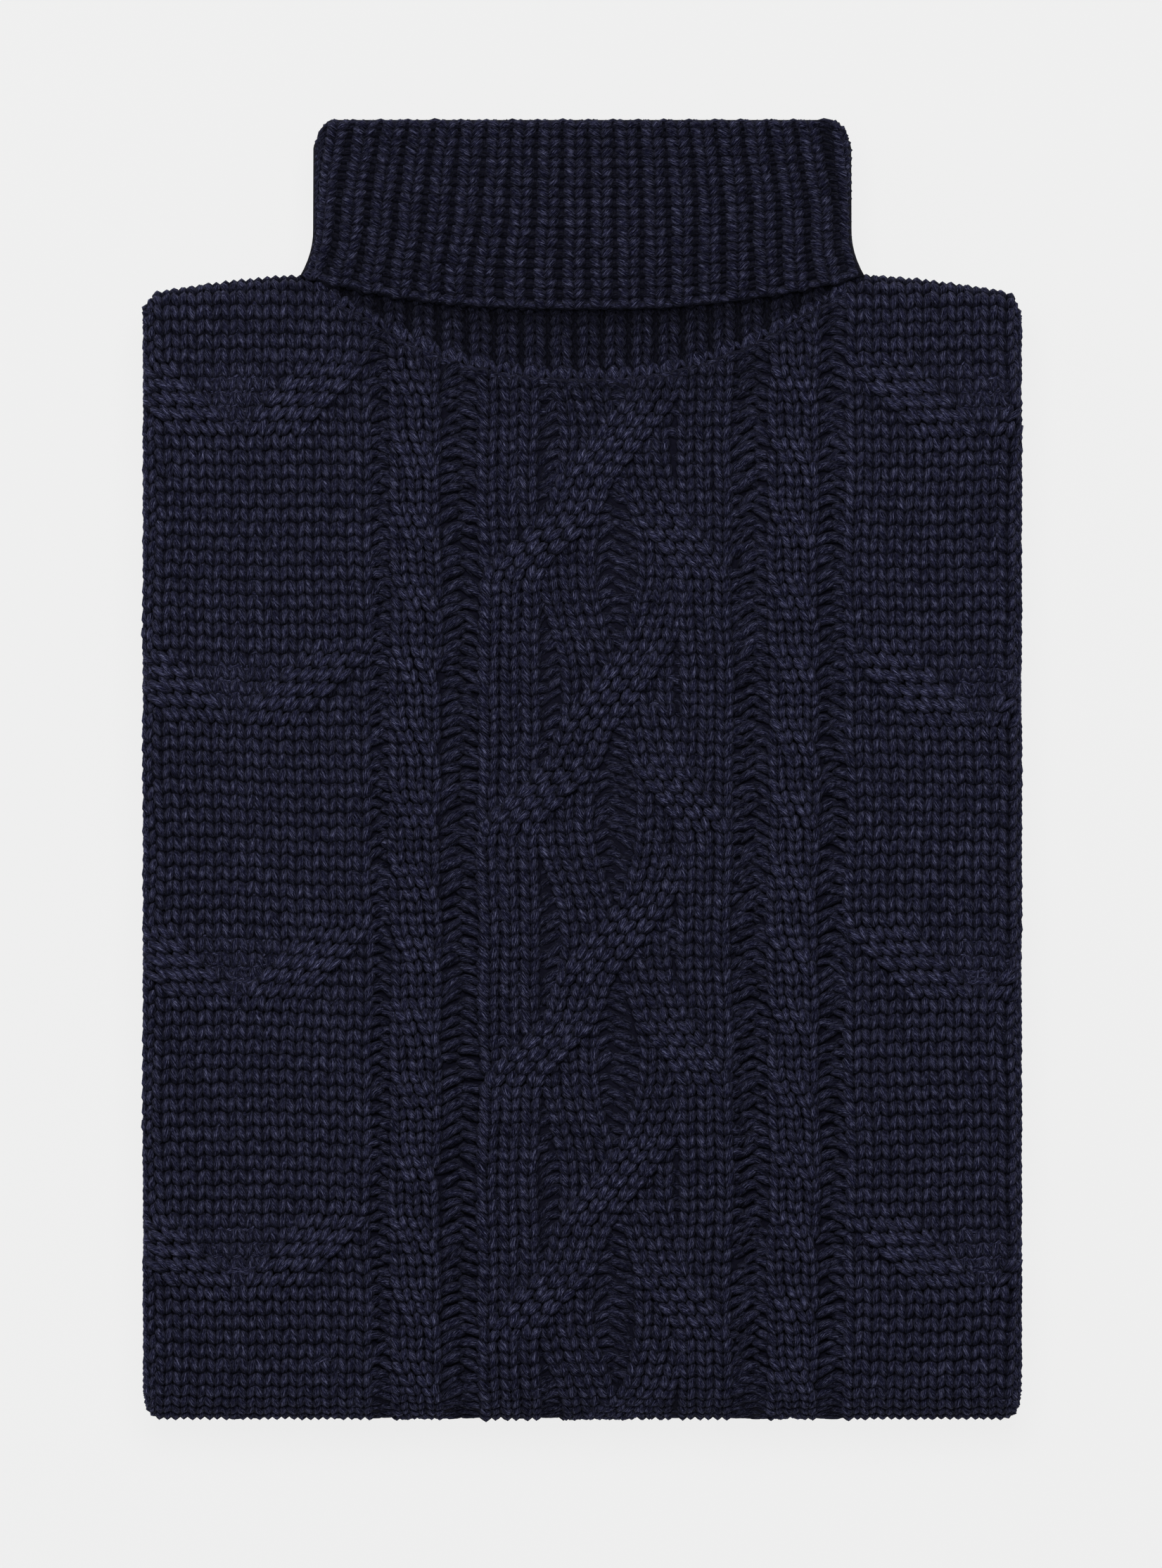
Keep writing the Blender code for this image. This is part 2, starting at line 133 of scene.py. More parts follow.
def select_only(piece: bpy.types.Object) -> None:
    """Deselects everything, then selects one object and makes it active."""
    bpy.ops.object.select_all(action="DESELECT")
    piece.select_set(True)
    bpy.context.view_layer.objects.active = piece


# Finishes


class Shading:
    """The node tree of one new matt material."""

    def __init__(self, name: str, roughness: float, specular: float) -> None:
        """Makes the material.

        Args:
            name: Its name.
            roughness: How matt its surface is.
            specular: How much its surface mirrors.
        """
        self.material = bpy.data.materials.new(name)
        self.material.use_nodes = True
        self.nodes = self.material.node_tree.nodes
        self.links = self.material.node_tree.links
        self.shader = self.nodes["Principled BSDF"]
        self.set("Roughness", roughness)
        self.set("Specular IOR Level", specular)

    def set(self, socket: str, value: float | tuple[float, ...]) -> None:
        """Gives a socket of the surface one even value."""
        self.shader.inputs[socket].default_value = value

    def attribute(self, name: str) -> bpy.types.Node:
        """Adds a node that reads an attribute of the mesh."""
        node = self.nodes.new("ShaderNodeAttribute")
        node.attribute_name = name
        return node

    def noise(
        self, place: bpy.types.NodeSocket, scale: float, detail: float, roughness: float = 0.5
    ) -> bpy.types.NodeSocket:
        """Adds fractal noise over some coordinates, and gives its grey value."""
        node = self.nodes.new("ShaderNodeTexNoise")
        node.inputs["Scale"].default_value = scale
        node.inputs["Detail"].default_value = detail
        node.inputs["Roughness"].default_value = roughness
        self.links.new(place, node.inputs["Vector"])
        return node.outputs["Fac"]

    def ramp(
        self, grey: bpy.types.NodeSocket, *stops: tuple[float, Colour]
    ) -> bpy.types.NodeSocket:
        """Turns a grey value into colours, given as places with their colours, in order."""
        node = self.nodes.new("ShaderNodeValToRGB")
        kept = node.color_ramp.elements
        for element, (place, colour) in zip(kept, (stops[0], stops[-1]), strict=True):
            element.position, element.color = place, (*colour, 1.0)
        for place, colour in stops[1:-1]:
            kept.new(place).color = (*colour, 1.0)
        self.links.new(grey, node.inputs["Fac"])
        return node.outputs["Color"]

    def tinted(
        self, colour: bpy.types.NodeSocket, tint: bpy.types.NodeSocket
    ) -> bpy.types.NodeSocket:
        """Multiplies a colour by a tint."""
        node = self.nodes.new("ShaderNodeMix")
        node.data_type, node.blend_type = "RGBA", "MULTIPLY"
        node.inputs["Factor"].default_value = 1.0
        self.links.new(colour, node.inputs["A"])
        self.links.new(tint, node.inputs["B"])
        return node.outputs["Result"]

    def colour(self, colour: bpy.types.NodeSocket) -> None:
        """Colours the surface."""
        self.links.new(colour, self.shader.inputs["Base Color"])

    def raised(self, height: bpy.types.NodeSocket, strength: float, distance: float) -> None:
        """Raises fine relief on the surface."""
        node = self.nodes.new("ShaderNodeBump")
        node.inputs["Strength"].default_value = strength
        node.inputs["Distance"].default_value = distance
        self.links.new(height, node.inputs["Height"])
        self.links.new(node.outputs["Normal"], self.shader.inputs["Normal"])


@dataclass(frozen=True)
class WoolFinish:
    """Heathered wool: dark dyed yarn with paler fibres lying along it."""

    name: str
    shade: Colour
    body: Colour
    fibre: Colour
    stops: tuple[float, float, float] = (0.39, 0.52, 0.68)
    fibre_scale: float = 4.6
    roughness: float = 0.92
    specular: float = 0.05
    sheen: float = 0.055
    sheen_roughness: float = 0.45
    sheen_tint: Colour = (0.50, 0.52, 0.85)
    relief: float = 0.0006

    def material(self) -> bpy.types.Material:
        """Builds the yarn material, which reads the yarn and tint attributes of a piece; the tint
        holds painted light and shade, which darken or brighten the heather colour.
        """
        made = Shading(self.name, self.roughness, self.specular)
        made.set("Sheen Weight", self.sheen)
        made.set("Sheen Roughness", self.sheen_roughness)
        made.set("Sheen Tint", (*self.sheen_tint, 1.0))
        yarn, tint = made.attribute("yarn"), made.attribute("tint")
        fibres = made.noise(yarn.outputs["Vector"], self.fibre_scale, 3.0, 0.68)
        colours = zip(self.stops, (self.shade, self.body, self.fibre), strict=True)
        heather = made.ramp(fibres, *colours)
        # The tint's painted light and shade multiply the heather colour.
        made.colour(made.tinted(heather, tint.outputs["Color"]))
        made.raised(fibres, 0.5, self.relief)
        return made.material


@dataclass(frozen=True)
class ClothFinish:
    """The cloth between and behind the stitches, with a fine fuzz, painted dark as the shade in the
    gaps.
    """

    name: str
    dark: Colour
    pale: Colour
    fuzz_scale: float = 900.0
    roughness: float = 0.95
    specular: float = 0.1
    relief: float = 0.0004

    def material(self) -> bpy.types.Material:
        """Builds the fuzz material on object coordinates."""
        made = Shading(self.name, self.roughness, self.specular)
        place = made.nodes.new("ShaderNodeTexCoord").outputs["Object"]
        fuzz = made.noise(place, self.fuzz_scale, 4.0)
        made.colour(made.ramp(fuzz, (0.0, self.dark), (1.0, self.pale)))
        made.raised(fuzz, 0.6, self.relief)
        return made.material


NAVY_WOOL = WoolFinish(
    "navy_wool",
    shade=(0.0024, 0.0024, 0.0074),
    body=(0.0190, 0.0198, 0.0508),
    fibre=(0.162, 0.168, 0.284),
)
# Painted shade: this cloth is far darker than the yarn, so that the gaps between stitches read as
# shade.
PAINTED_SHADE_CLOTH = ClothFinish("painted_shade_cloth", dark=(0.002, 0.002, 0.005), pale=(0.009, 0.009, 0.021))


# Yarn


@dataclass(frozen=True)
class LegShape:
    """How one leg of a knit stitch runs, in shares of the row, the wale and the yarn's radius, and
    its painted shade and highlight along its length.
    """

    along: tuple[float, ...] = (-0.04, 0.12, 0.43, 0.76, 0.91)
    aside: tuple[float, ...] = (0.125, 0.160, 0.245, 0.335, 0.368)
    lift: tuple[float, ...] = (-1.05, 0.02, 0.50, 0.16, -0.95)
    girth: tuple[float, ...] = (0.60, 0.96, 1.06, 1.00, 0.62)
    # Painted shade and highlight: the leg is dark at its ends, which dive under other yarn, and
    # brightest at its crest.
    shade: tuple[float, ...] = (0.03, 0.34, 1.10, 0.72, 0.04)


# The shade of each shape below is painted shade at the legs' ends and painted highlight at their
# crests.
PLAIN_LEG = LegShape()
CABLE_LEG = LegShape(
    aside=(0.115, 0.145, 0.225, 0.300, 0.325),
    girth=(0.60, 0.95, 1.04, 0.96, 0.60),
    shade=(0.03, 0.32, 1.16, 0.68, 0.04),
)
RIB_LEG = LegShape(
    along=(0.18, 0.32, 0.50, 0.68, 0.80),
    aside=(0.050, 0.125, 0.245, 0.360, 0.425),
    lift=(-0.95, 0.02, 0.45, 0.12, -1.00),
    girth=(0.60, 0.95, 1.08, 0.98, 0.58),
    shade=(0.03, 0.32, 1.18, 0.62, 0.03),
)


@dataclass
class YarnBatch:
    """Many short yarn tubes that become one mesh, each with its own small variations."""

    name: str
    seed: int
    sides: int = 5
    blunt: float = 0.5
    twist: float = 240.0
    fibre_length: float = 110.0
    fibre_girth: float = 1.5
    fibre_shift: float = 40.0
    # Painted shade: the next two numbers darken each tube's sides and underside against its top,
    # and tip_shade darkens its tips.
    flank_shade: float = 0.10
    flank_shade_power: float = 3.0
    variation: float = 0.14
    tip_shade: float = 0.6
    count: int = 0
    points: list[Array] = field(default_factory=list)
    quads: list[Array] = field(default_factory=list)
    tips: list[Array] = field(default_factory=list)
    yarn: list[Array] = field(default_factory=list)
    tint: list[Array] = field(default_factory=list)

    def __post_init__(self) -> None:
        """Starts the batch's own row of random numbers."""
        self.random = np.random.default_rng(self.seed)

    def add(self, centre: Array, up: Array, radius: Array, shade: Array | float = 1.0) -> None:
        """Adds tubes along lines of points, none of them below the table.

        Args:
            centre: Tube middles, shaped (tubes, rings, 3).
            up: Directions away from the cloth, shaped as centre.
            radius: The tubes' radii, shaped (tubes, rings).
            shade: Painted shade of the rings, as their brightness before each tube's own variation.
        """
        tubes, rings = centre.shape[:2]
        if tubes == 0:
            return
        run = unit(np.gradient(centre, axis=1))
        side = unit(np.cross(run, up))
        rise = np.cross(side, run)
        turn = math.pi / 2 + np.arange(self.sides) * (2 * math.pi / self.sides)
        wide = radius[:, :, None, None]
        ring = (
            centre[:, :, None, :]
            + wide * np.cos(turn)[None, None, :, None] * side[:, :, None, :]
            + wide * np.sin(turn)[None, None, :, None] * rise[:, :, None, :]
        )
        first = centre[:, :1] - run[:, :1] * radius[:, :1, None] * self.blunt
        last = centre[:, -1:] + run[:, -1:] * radius[:, -1:, None] * self.blunt
        every = np.concatenate([ring.reshape(tubes, -1, 3), first, last], axis=1)
        every[..., 2] = np.maximum(every[..., 2], 0.0)
        self.points.append(every.reshape(-1, 3))
        self._join(tubes, rings)
        self._dress(centre, turn, np.broadcast_to(shade, (tubes, rings)))

    def _join(self, tubes: int, rings: int) -> None:
        """Joins the points of equal tubes into sides and pointed tips."""
        per = rings * self.sides + 2
        start = self.count + np.arange(tubes)[:, None, None] * per
        here = np.arange(self.sides)
        after = (here + 1) % self.sides
        ring = np.arange(rings - 1)[:, None] * self.sides
        low, high = ring + here, ring + after
        quad = np.stack([low, high, high + self.sides, low + self.sides], axis=-1).reshape(-1, 4)
        self.quads.append((start + quad[None]).reshape(-1, 4))
        end = (rings - 1) * self.sides
        first = np.stack([after, here, np.full(self.sides, per - 2)], axis=-1)
        last = np.stack([here + end, after + end, np.full(self.sides, per - 1)], axis=-1)
        self.tips.append((start + np.concatenate([first, last])[None]).reshape(-1, 3))
        self.count += tubes * per

    def _dress(self, centre: Array, turn: Array, shade: Array) -> None:
        """Keeps the yarn's own coordinates and its brightness for each point: painted light and
        shade along and round each tube, times the tube's own random tone.
        """
        tubes, rings = centre.shape[:2]
        steps = np.linalg.norm(np.diff(centre, axis=1), axis=-1)
        length = np.concatenate([np.zeros((tubes, 1)), np.cumsum(steps, axis=1)], axis=1)
        shift = self.random.uniform(0.0, self.fibre_shift, (tubes, 3))
        twist = turn[None, None, :] - length[:, :, None] * self.twist
        yarn = np.empty((tubes, rings, self.sides, 3))
        yarn[..., 0] = length[:, :, None] * self.fibre_length
        yarn[..., 1] = np.cos(twist) * self.fibre_girth
        yarn[..., 2] = np.sin(twist) * self.fibre_girth
        yarn = yarn.reshape(tubes, -1, 3)
        yarn = np.concatenate([yarn, yarn[:, :1], yarn[:, -1:]], axis=1) + shift[:, None, :]
        self.yarn.append(yarn.reshape(-1, 3))
        # Painted light and shade round the tube: brightest on top, darker down its sides.
        top = (0.5 + 0.5 * np.sin(turn)) ** self.flank_shade_power
        flank_shade = self.flank_shade + (1 - self.flank_shade) * top
        own = self.random.uniform(1 - self.variation, 1 + self.variation, (tubes, 1, 1))
        tint = (shade[:, :, None] * flank_shade[None, None, :] * own).reshape(tubes, -1)
        # Painted shade on the pointed tips, which dive under other yarn.
        ends = [tint[:, :1] * self.tip_shade, tint[:, -1:] * self.tip_shade]
        self.tint.append(np.concatenate([tint, *ends], axis=1).ravel())

    def build(self, material: bpy.types.Material) -> bpy.types.Object:
        """Makes the mesh of all tubes, in one finish, as a new object."""
        points = np.concatenate(self.points)
        quads = np.concatenate(self.quads)
        tips = np.concatenate(self.tips)
        corners = np.concatenate([quads.ravel(), tips.ravel()])
        starts = [np.arange(len(quads)) * 4, len(quads) * 4 + np.arange(len(tips)) * 3]
        mesh = bpy.data.meshes.new(self.name)
        mesh.vertices.add(len(points))
        mesh.vertices.foreach_set("co", points.astype(np.float32).ravel())
        mesh.loops.add(len(corners))
        mesh.loops.foreach_set("vertex_index", corners.astype(np.int32))
        mesh.polygons.add(len(quads) + len(tips))
        mesh.polygons.foreach_set("loop_start", np.concatenate(starts).astype(np.int32))
        mesh.update(calc_edges=True)
        mesh.validate()
        mesh.shade_smooth()
        yarn = mesh.attributes.new("yarn", "FLOAT_VECTOR", "POINT")
        yarn.data.foreach_set("vector", np.concatenate(self.yarn).astype(np.float32).ravel())
        # The tint attribute: painted light and shade at every point, times each tube's own random
        # tone.
        tint = np.repeat(np.concatenate(self.tint)[:, None], 4, axis=1)
        tint[:, 3] = 1.0
        colour = mesh.attributes.new("tint", "FLOAT_COLOR", "POINT")
        colour.data.foreach_set("color", tint.astype(np.float32).ravel())
        mesh.materials.append(material)
        return linked(self.name, mesh)


@dataclass(frozen=True)
class Stitcher:
    """Knits stitches on one cloth into a batch."""

    cloth: Cloth
    batch: YarnBatch
    limit: Callable[[Array, Array], Array] | None = None
    shape: LegShape = PLAIN_LEG
    hands: tuple[tuple[int, float], ...] = ((-1, 1.05), (1, 0.97))
    sway: float = 0.012
    uneven_spread: float = 0.06
    uneven_row: float = 0.03
    uneven_lift: float = 0.06
    uneven_girth: float = 0.04
    edge_slant: float = 0.22
    edge_girth: float = 0.13
    sunk: float = 0.0002

    def wale(
        self,
        path: YarnPath,
        starts: Array,
        row: float,
        facing: Facing = Facing.UPRIGHT,
        fullness: float = 0.258,
        tint: Array | float = 1.0,
        edge: Array | int = 0,
    ) -> None:
        """Knits one column of stitches.

        Args:
            path: Gives across, along, lift and wale width at distances along the column.
            starts: Where each stitch starts along the column.
            row: Height of one row.
            facing: Which way the stitches' V points.
            fullness: The yarn's radius as a share of the wale.
            tint: Brightness of the yarn, or of each stitch, with any painted light and shade.
            edge: The side where the column ends its band, -1 or 1: its leg there is wide.
        """
        if len(starts) == 0:
            return
        shape = self.shape
        noise = self.batch.random
        one = (len(starts), 1)
        where = starts[:, None] + facing.value * np.array(shape.along)[None] * row
        across, along, lift, wale = path(where)
        step = row * 0.05
        ahead, behind = path(where + step), path(where - step)
        slope = (ahead[0] - behind[0]) / np.maximum(np.abs(ahead[1] - behind[1]), 1e-6)
        slack = 1 / np.sqrt(1 + slope**2)
        across_by, along_by = 1 - 0.5 * (1 - slack), -0.5 * slope * slack
        radius = wale * fullness * (0.62 + 0.38 * slack)
        sway = noise.normal(0.0, self.sway, one) * wale
        widening = np.linspace(0.0, 1.0, len(shape.aside))[None]
        for hand, size in self.hands:
            last = np.broadcast_to(np.asarray(edge) == hand, (len(starts),))[:, None]
            spread = 1 + noise.normal(0, self.uneven_spread, one)
            slant = np.array(shape.aside)[None] * (1 + self.edge_slant * last * widening)
            aside = hand * slant * wale * (0.3 + 0.7 * slack) * spread + sway
            at_across = across + aside * across_by
            at_along = along + aside * along_by + noise.normal(0, self.uneven_row, one) * row
            if self.limit is not None:
                at_along = np.minimum(at_along, self.limit(at_across, at_along))
            relief = self.cloth.relief(at_across, at_along)
            uneven = noise.normal(0, self.uneven_lift, one) * relief
            wave = np.array(shape.lift)[None] * relief + uneven
            height = lift - self.sunk * (1 - relief) + wave * radius
            taper = 1 - (1 - np.array(shape.girth)[None]) * (1.4 * relief - 0.4)
            girth = size * (1 + self.edge_girth * last) * radius * taper
            girth = girth * (1 + noise.normal(0, self.uneven_girth, one))
            # Painted light and shade: the leg's shade along its length, brightened on side rolls
            # and folds, where the relief is low at the outline.
            shade = tint * (1.5 - 0.5 * relief) * np.array(shape.shade)[None]
            self.strand(at_across, at_along, height, girth, shade)

    def strand(
        self, across: Array, along: Array, lift: Array, radius: Array, tint: Array | float = 1.0
    ) -> None:
        """Lays plain yarns on the cloth.

        Args:
            across: Points of each yarn across the cloth, shaped (yarns, points).
            along: The same along the cloth.
            lift: The same over the cloth.
            radius: Yarn radius at each point.
            tint: Brightness of the yarn, with any painted light and shade.
        """
        centre = self.cloth.place(across, along, lift)
        up = unit(self.cloth.place(across, along, lift + NUDGE) - centre)
        self.batch.add(centre, up, radius, tint)


# The folded front


@dataclass(frozen=True)
class FoldedForm:
    """The folded body's outside: the front laid flat, and rolled over its sides and both ends."""

    half_width: float = 0.1684
    bundle: float = 0.0215
    side_roll: float = 0.0075
    roll_power: float = 2.5
    crease: float = 0.0005
    fold_reach: float = 0.9
    y_bottom: float = -0.2500
    y_shoulder: float = 0.1876
    shoulder_drop: float = 0.0075
    shoulder_power: float = 1.6
    shoulder_turn: float = 1.75
    neck_half: float = 0.1034
    neck_depth: float = 0.039
    neck_power: float = 2.3
    neck_margin: float = 0.0080
    swell: float = 0.0016
    dent: float = 0.0005

    @property
    def roll_half(self) -> float:
        """Half the height of one bundle's side roll."""
        return (self.bundle - self.crease) / 2

    @property
    def roll_centre(self) -> float:
        """Height of the side roll's middle over the crease plane."""
        return self.crease + self.roll_half

    @property
    def flat_half(self) -> float:
        """Half width of the flat of the front."""
        return self.half_width - self.side_roll

    @property
    def y_fold(self) -> float:
        """The line that the bottom fold turns about."""
        return self.y_bottom + self.fold_reach * self.bundle

    @property
    def fold_radius(self) -> float:
        """Mean radius of the bottom fold."""
        return self.bundle * (1 + self.fold_reach) / 2

    @property
    def fold_length(self) -> float:
        """Cloth length round the bottom fold."""
        return math.pi * self.fold_radius

    @property
    def shoulder_reach(self) -> float:
        """How far the shoulder's roll reaches past its axis."""
        return self.fold_reach * (self.bundle - self.roll_centre)

    @property
    def shoulder_radius(self) -> float:
        """Mean radius of the shoulder's roll."""
        return (self.bundle - self.roll_centre) * (1 + self.fold_reach) / 2

    def roll_table(self) -> tuple[Array, Array, Array, Array, Array]:
        """Cloth length, reach, height and normal of the side roll, from its top to its lip."""
        turn = np.linspace(0.0, math.pi, 361)
        out = np.sin(turn) ** (2 / self.roll_power)
        cosine = np.cos(turn)
        up = np.sign(cosine) * np.abs(cosine) ** (2 / self.roll_power)
        reach = self.side_roll * out
        height = self.roll_centre + self.roll_half * up
        length = np.concatenate([[0.0], np.cumsum(np.hypot(np.diff(reach), np.diff(height)))])
        normal_out = out ** (self.roll_power - 1) / self.side_roll
        normal_up = np.sign(up) * np.abs(up) ** (self.roll_power - 1) / self.roll_half
        size = np.hypot(normal_out, normal_up)
        return length, reach, height, normal_out / size, normal_up / size

    @property
    def half_cloth(self) -> float:
        """Half the cloth's width, from the middle to the lip of a side roll."""
        return self.flat_half + float(self.roll_table()[0][-1])

    def section(self, across: Array) -> tuple[Array, Array, Array, Array]:
        """The cross-section at points across the cloth: x, height, and the normal across and up."""
        length, reach, height, out, up = self.roll_table()
        past = np.abs(across) - self.flat_half
        side = np.sign(across)
        x = np.where(past > 0, side * (self.flat_half + np.interp(past, length, reach)), across)
        return (
            x,
            np.where(past > 0, np.interp(past, length, height), self.bundle),
            np.where(past > 0, side * np.interp(past, length, out), 0.0),
            np.where(past > 0, np.interp(past, length, up), 1.0),
        )

    def x_at(self, across: Array) -> Array:
        """The world x of points across the cloth."""
        return self.section(across)[0]

    def shoulder_axis(self, x: Array) -> Array:
        """The line that the shoulder rolls about, at each x."""
        out = np.clip((np.abs(x) - self.neck_half) / (self.half_width - self.neck_half), 0.0, 1.0)
        return self.y_shoulder - self.shoulder_drop * out**self.shoulder_power - self.shoulder_reach

    def neck_seam(self, x: Array) -> Array:
        """The neck seam's y at each x."""
        share = np.minimum(np.abs(x) / self.neck_half, 1.0)
        return self.y_shoulder - self.neck_depth * (1 - share**self.neck_power)

    def end_along(self, x: Array) -> Array:
        """How far along the cloth reaches at each x: the neck seam, or the shoulder roll's end."""
        axis, seam = self.shoulder_axis(x), self.neck_seam(x)
        past = np.clip((seam - axis) / self.shoulder_reach, 0.0, 1.0)
        inside = np.abs(x) < self.neck_half - self.neck_margin
        rolled = np.where(inside, np.arcsin(past), self.shoulder_turn)
        return np.where(inside & (seam < axis), seam, axis + self.shoulder_radius * rolled)

    def place(self, across: Array, along: Array, lift: Array) -> Array:
        """World points of cloth coordinates.

        Args:
            across: Distance from the middle, with the rows.
            along: World y on the flat of the front, and cloth length past its folds.
            lift: Height over the plain cloth.

        Returns:
            Points, with a last axis of 3.
        """
        x, height, out, up = self.section(across)
        axis = self.shoulder_axis(x)
        soft = lift + self.softness(x, along) * np.maximum(up, 0.0)
        wide = x + out * soft
        high = height + up * soft
        over = np.maximum(high - self.roll_centre, 0.0)
        rolled = np.clip((along - axis) / self.shoulder_radius, 0.0, 2.0)
        turned = self.fold_turn(along)
        below = np.maximum(self.y_fold - along - self.fold_length, 0.0)
        y = np.clip(along, self.y_fold, axis) + self.fold_reach * over * np.sin(rolled)
        y = y - self.fold_reach * high * np.sin(turned) + below
        z = np.where(
            turned > 0,
            high * np.cos(turned),
            np.minimum(high, self.roll_centre) + over * np.cos(rolled),
        )
        return np.stack([wide, y, self.bundle + z], axis=-1)

    def fold_turn(self, along: Array) -> Array:
        """How far the cloth has turned round the bottom fold."""
        return np.clip((self.y_fold - along) / self.fold_radius, 0.0, math.pi)

    def flatness(self, across: Array, along: Array) -> Array:
        """1 where the cloth faces up or down, and 0 where it stands on edge."""
        x, _, _, up = self.section(across)
        roll = np.clip((along - self.shoulder_axis(x)) / self.shoulder_radius, 0.0, math.pi / 2)
        return np.abs(up * np.cos(self.fold_turn(along)) * np.cos(roll))

    def relief(self, across: Array, along: Array) -> Array:
        """How deep the stitches are modelled, less where they form the outline."""
        return outline_relief(self.flatness(across, along))

    def softness(self, x: Array, along: Array) -> Array:
        """The top's slow swell and its small dents, none of it past the folds."""
        middle = (self.y_shoulder + self.y_bottom) / 2
        half = (self.y_shoulder - self.y_bottom) / 2
        edge = np.clip(1 - np.abs((along - middle) / half) ** 4, 0.0, 1.0)
        edge = edge * np.clip(1 - np.abs(x / self.half_width) ** 4, 0.0, 1.0)
        dents = np.sin(31 * x + 1.3) * np.sin(23 * along + 0.4) + 0.6 * np.sin(58 * x - 47 * along)
        return edge * (self.swell + self.dent * dents)


@dataclass(frozen=True)
class Crossing:
    """Neighbouring strands that swap places, centred at a place along the cloth."""

    along: float
    slot: int
    lean: Lean
    over: int = 1
    under: int = 1
    reach: float = 1.0

    def moves(self) -> list[tuple[int, int]]:
        """The slots that each of its strands leaves and enters."""
        left, right = self.over, self.under
        if self.lean is Lean.LEFT:
            left, right = right, left
        rising = [(self.slot + number, self.slot + right + number) for number in range(left)]
        return rising + [(self.slot + left + number, self.slot + number) for number in range(right)]


@dataclass(frozen=True)
class Slot:
    """A place for one strand: its middle, the width of one wale, and its pull to the waists."""

    middle: float
    wale: float
    drawn: float = 0.0


Move = tuple[Crossing, int, int]


@dataclass
class CableBand:
    """A knitted band: strands of a few wales each, which cross over each other."""

    name: str
    slots: list[Slot]
    per_strand: int
    row: float
    plateau: float
    crossings: list[Crossing] = field(default_factory=list)
    half_crossing: float = 0.016
    half_under: float = 0.0012
    dip_reach: float = 0.0100
    over: float = 0.0027
    under: float = 0.0016
    edge_wales: tuple[int, int] = (0, 0)
    waists: tuple[float, ...] = ()
    waist_reach: float = 0.045
    edge_reach: float = 0.35
    axis: float = 0.0
    stagger: float = 1.45
    over_reach: float = 1.5
    steepest: float = 2.2
    shape: LegShape = CABLE_LEG
    tint: float = 1.0

    def moves(self) -> list[list[Move]]:
        """Follows each strand up the cloth.

        Returns:
            For each strand, its crossings with the slots that it leaves and enters.
        """
        in_slot = list(range(len(self.slots)))
        found: list[list[Move]] = [[] for _ in self.slots]
        for crossing in sorted(self.crossings, key=lambda item: item.along):
            before = list(in_slot)
            for leave, enter in crossing.moves():
                found[before[leave]].append((crossing, leave, enter))
                in_slot[enter] = before[leave]
        return found

    def paths(self, delay: float = 0.0) -> list[YarnPath]:
        """The path of every wale, where strands below swap sides a delay farther along."""
        found = []
        for strand, moves in enumerate(self.moves()):
            before = self.edge_wales[0] if strand == 0 else 0
            for number in range(-before, self.per_strand):
                wale = number - (self.per_strand - 1) / 2
                found.append(self.strand_path(strand, wale, moves if number >= 0 else [], delay))
        return found

    def edge(self, across: Array, wale: Array) -> Array:
        """-1 or 1 for stitches in the band's first or last column, and 0 for the others."""
        first, last = self.slots[0], self.slots[-1]
        left = first.middle - (self.per_strand - 1) / 2 * first.wale
        right = last.middle + (self.per_strand - 1) / 2 * last.wale
        near = self.edge_reach * wale
        at_left = (np.abs(across - left) < near) & (self.edge_wales[0] == 0)
        return np.where(np.abs(across - right) < near, 1, np.where(at_left, -1, 0))

    @property
    def past_swap(self) -> float:
        """The delay that moves a swap past the whole stitch in which it falls."""
        return 1.1 * self.row + self.half_under

    def shown(self, path: YarnPath, along: Array) -> Array:
        """Whether stitches centred at places of a wale are whole: it swaps no sides in them."""
        steep = np.zeros(along.shape, bool)
        step = 0.0003
        for share in np.linspace(-0.5, 0.5, 6):
            place = along + share * self.row
            moved = np.abs(path(place + step)[0] - path(place - step)[0])
            steep |= moved > 2 * step * self.steepest
        return ~steep

    def strand_path(self, strand: int, wale: float, moves: list[Move], delay: float) -> YarnPath:
        """The path of one wale of a strand.

        Args:
            strand: The strand's slot at the bottom of the cloth.
            wale: The wale's place in its strand, counted from the strand's middle.
            moves: The strand's crossings.
            delay: How much farther along it swaps sides below other strands.

        Returns:
            The wale's path along the cloth.
        """
        first = self.slots[strand]

        def path(along: Array) -> tuple[Array, Array, Array, Array]:
            """Across, along, lift and wale width at distances along the wale."""
            middle = np.full_like(along, first.middle)
            width = np.full_like(along, first.wale)
            lift = np.full_like(along, self.plateau)
            drawn = np.full_like(along, first.drawn)
            for crossing, leave, enter in moves:
                upper = (enter > leave) == (crossing.lean is Lean.RIGHT)
                reach = crossing.reach * self.half_crossing
                half = reach if upper else self.half_under
                past = along - crossing.along
                if upper:
                    lift += bump(past / (self.over_reach * half)) * self.over
                else:
                    stagger = crossing.lean.value * wale * self.stagger / self.per_strand
                    past = past - stagger * reach - delay
                    lift -= bump(past / self.dip_reach) * self.under
                share = smooth(past / (2 * half) + 0.5)
                old, new = self.slots[leave], self.slots[enter]
                middle += share * (new.middle - old.middle)
                width += share * (new.wale - old.wale)
                drawn += share * (new.drawn - old.drawn)
            for waist in self.waists:
                middle += drawn * bump((along - waist) / self.waist_reach) * (self.axis - middle)
            return middle + wale * width, along, lift, width

        return path


class PurlRegion(NamedTuple):
    """A strip of purl bumps: its edges across, its yarn's lift, and whether more lie under it."""

    left: float
    right: float
    lift: float
    doubled: bool = False

    def sunk(self) -> "PurlRegion":
        """The bumps that lie under these."""
        return PurlRegion(self.left + 0.0030, self.right - 0.0030, self.lift - 0.0011)


class GridPart(NamedTuple):
    """One part of a cloth's length, in shares of the whole, and its number of rows."""

    start: float
    stop: float
    rows: int


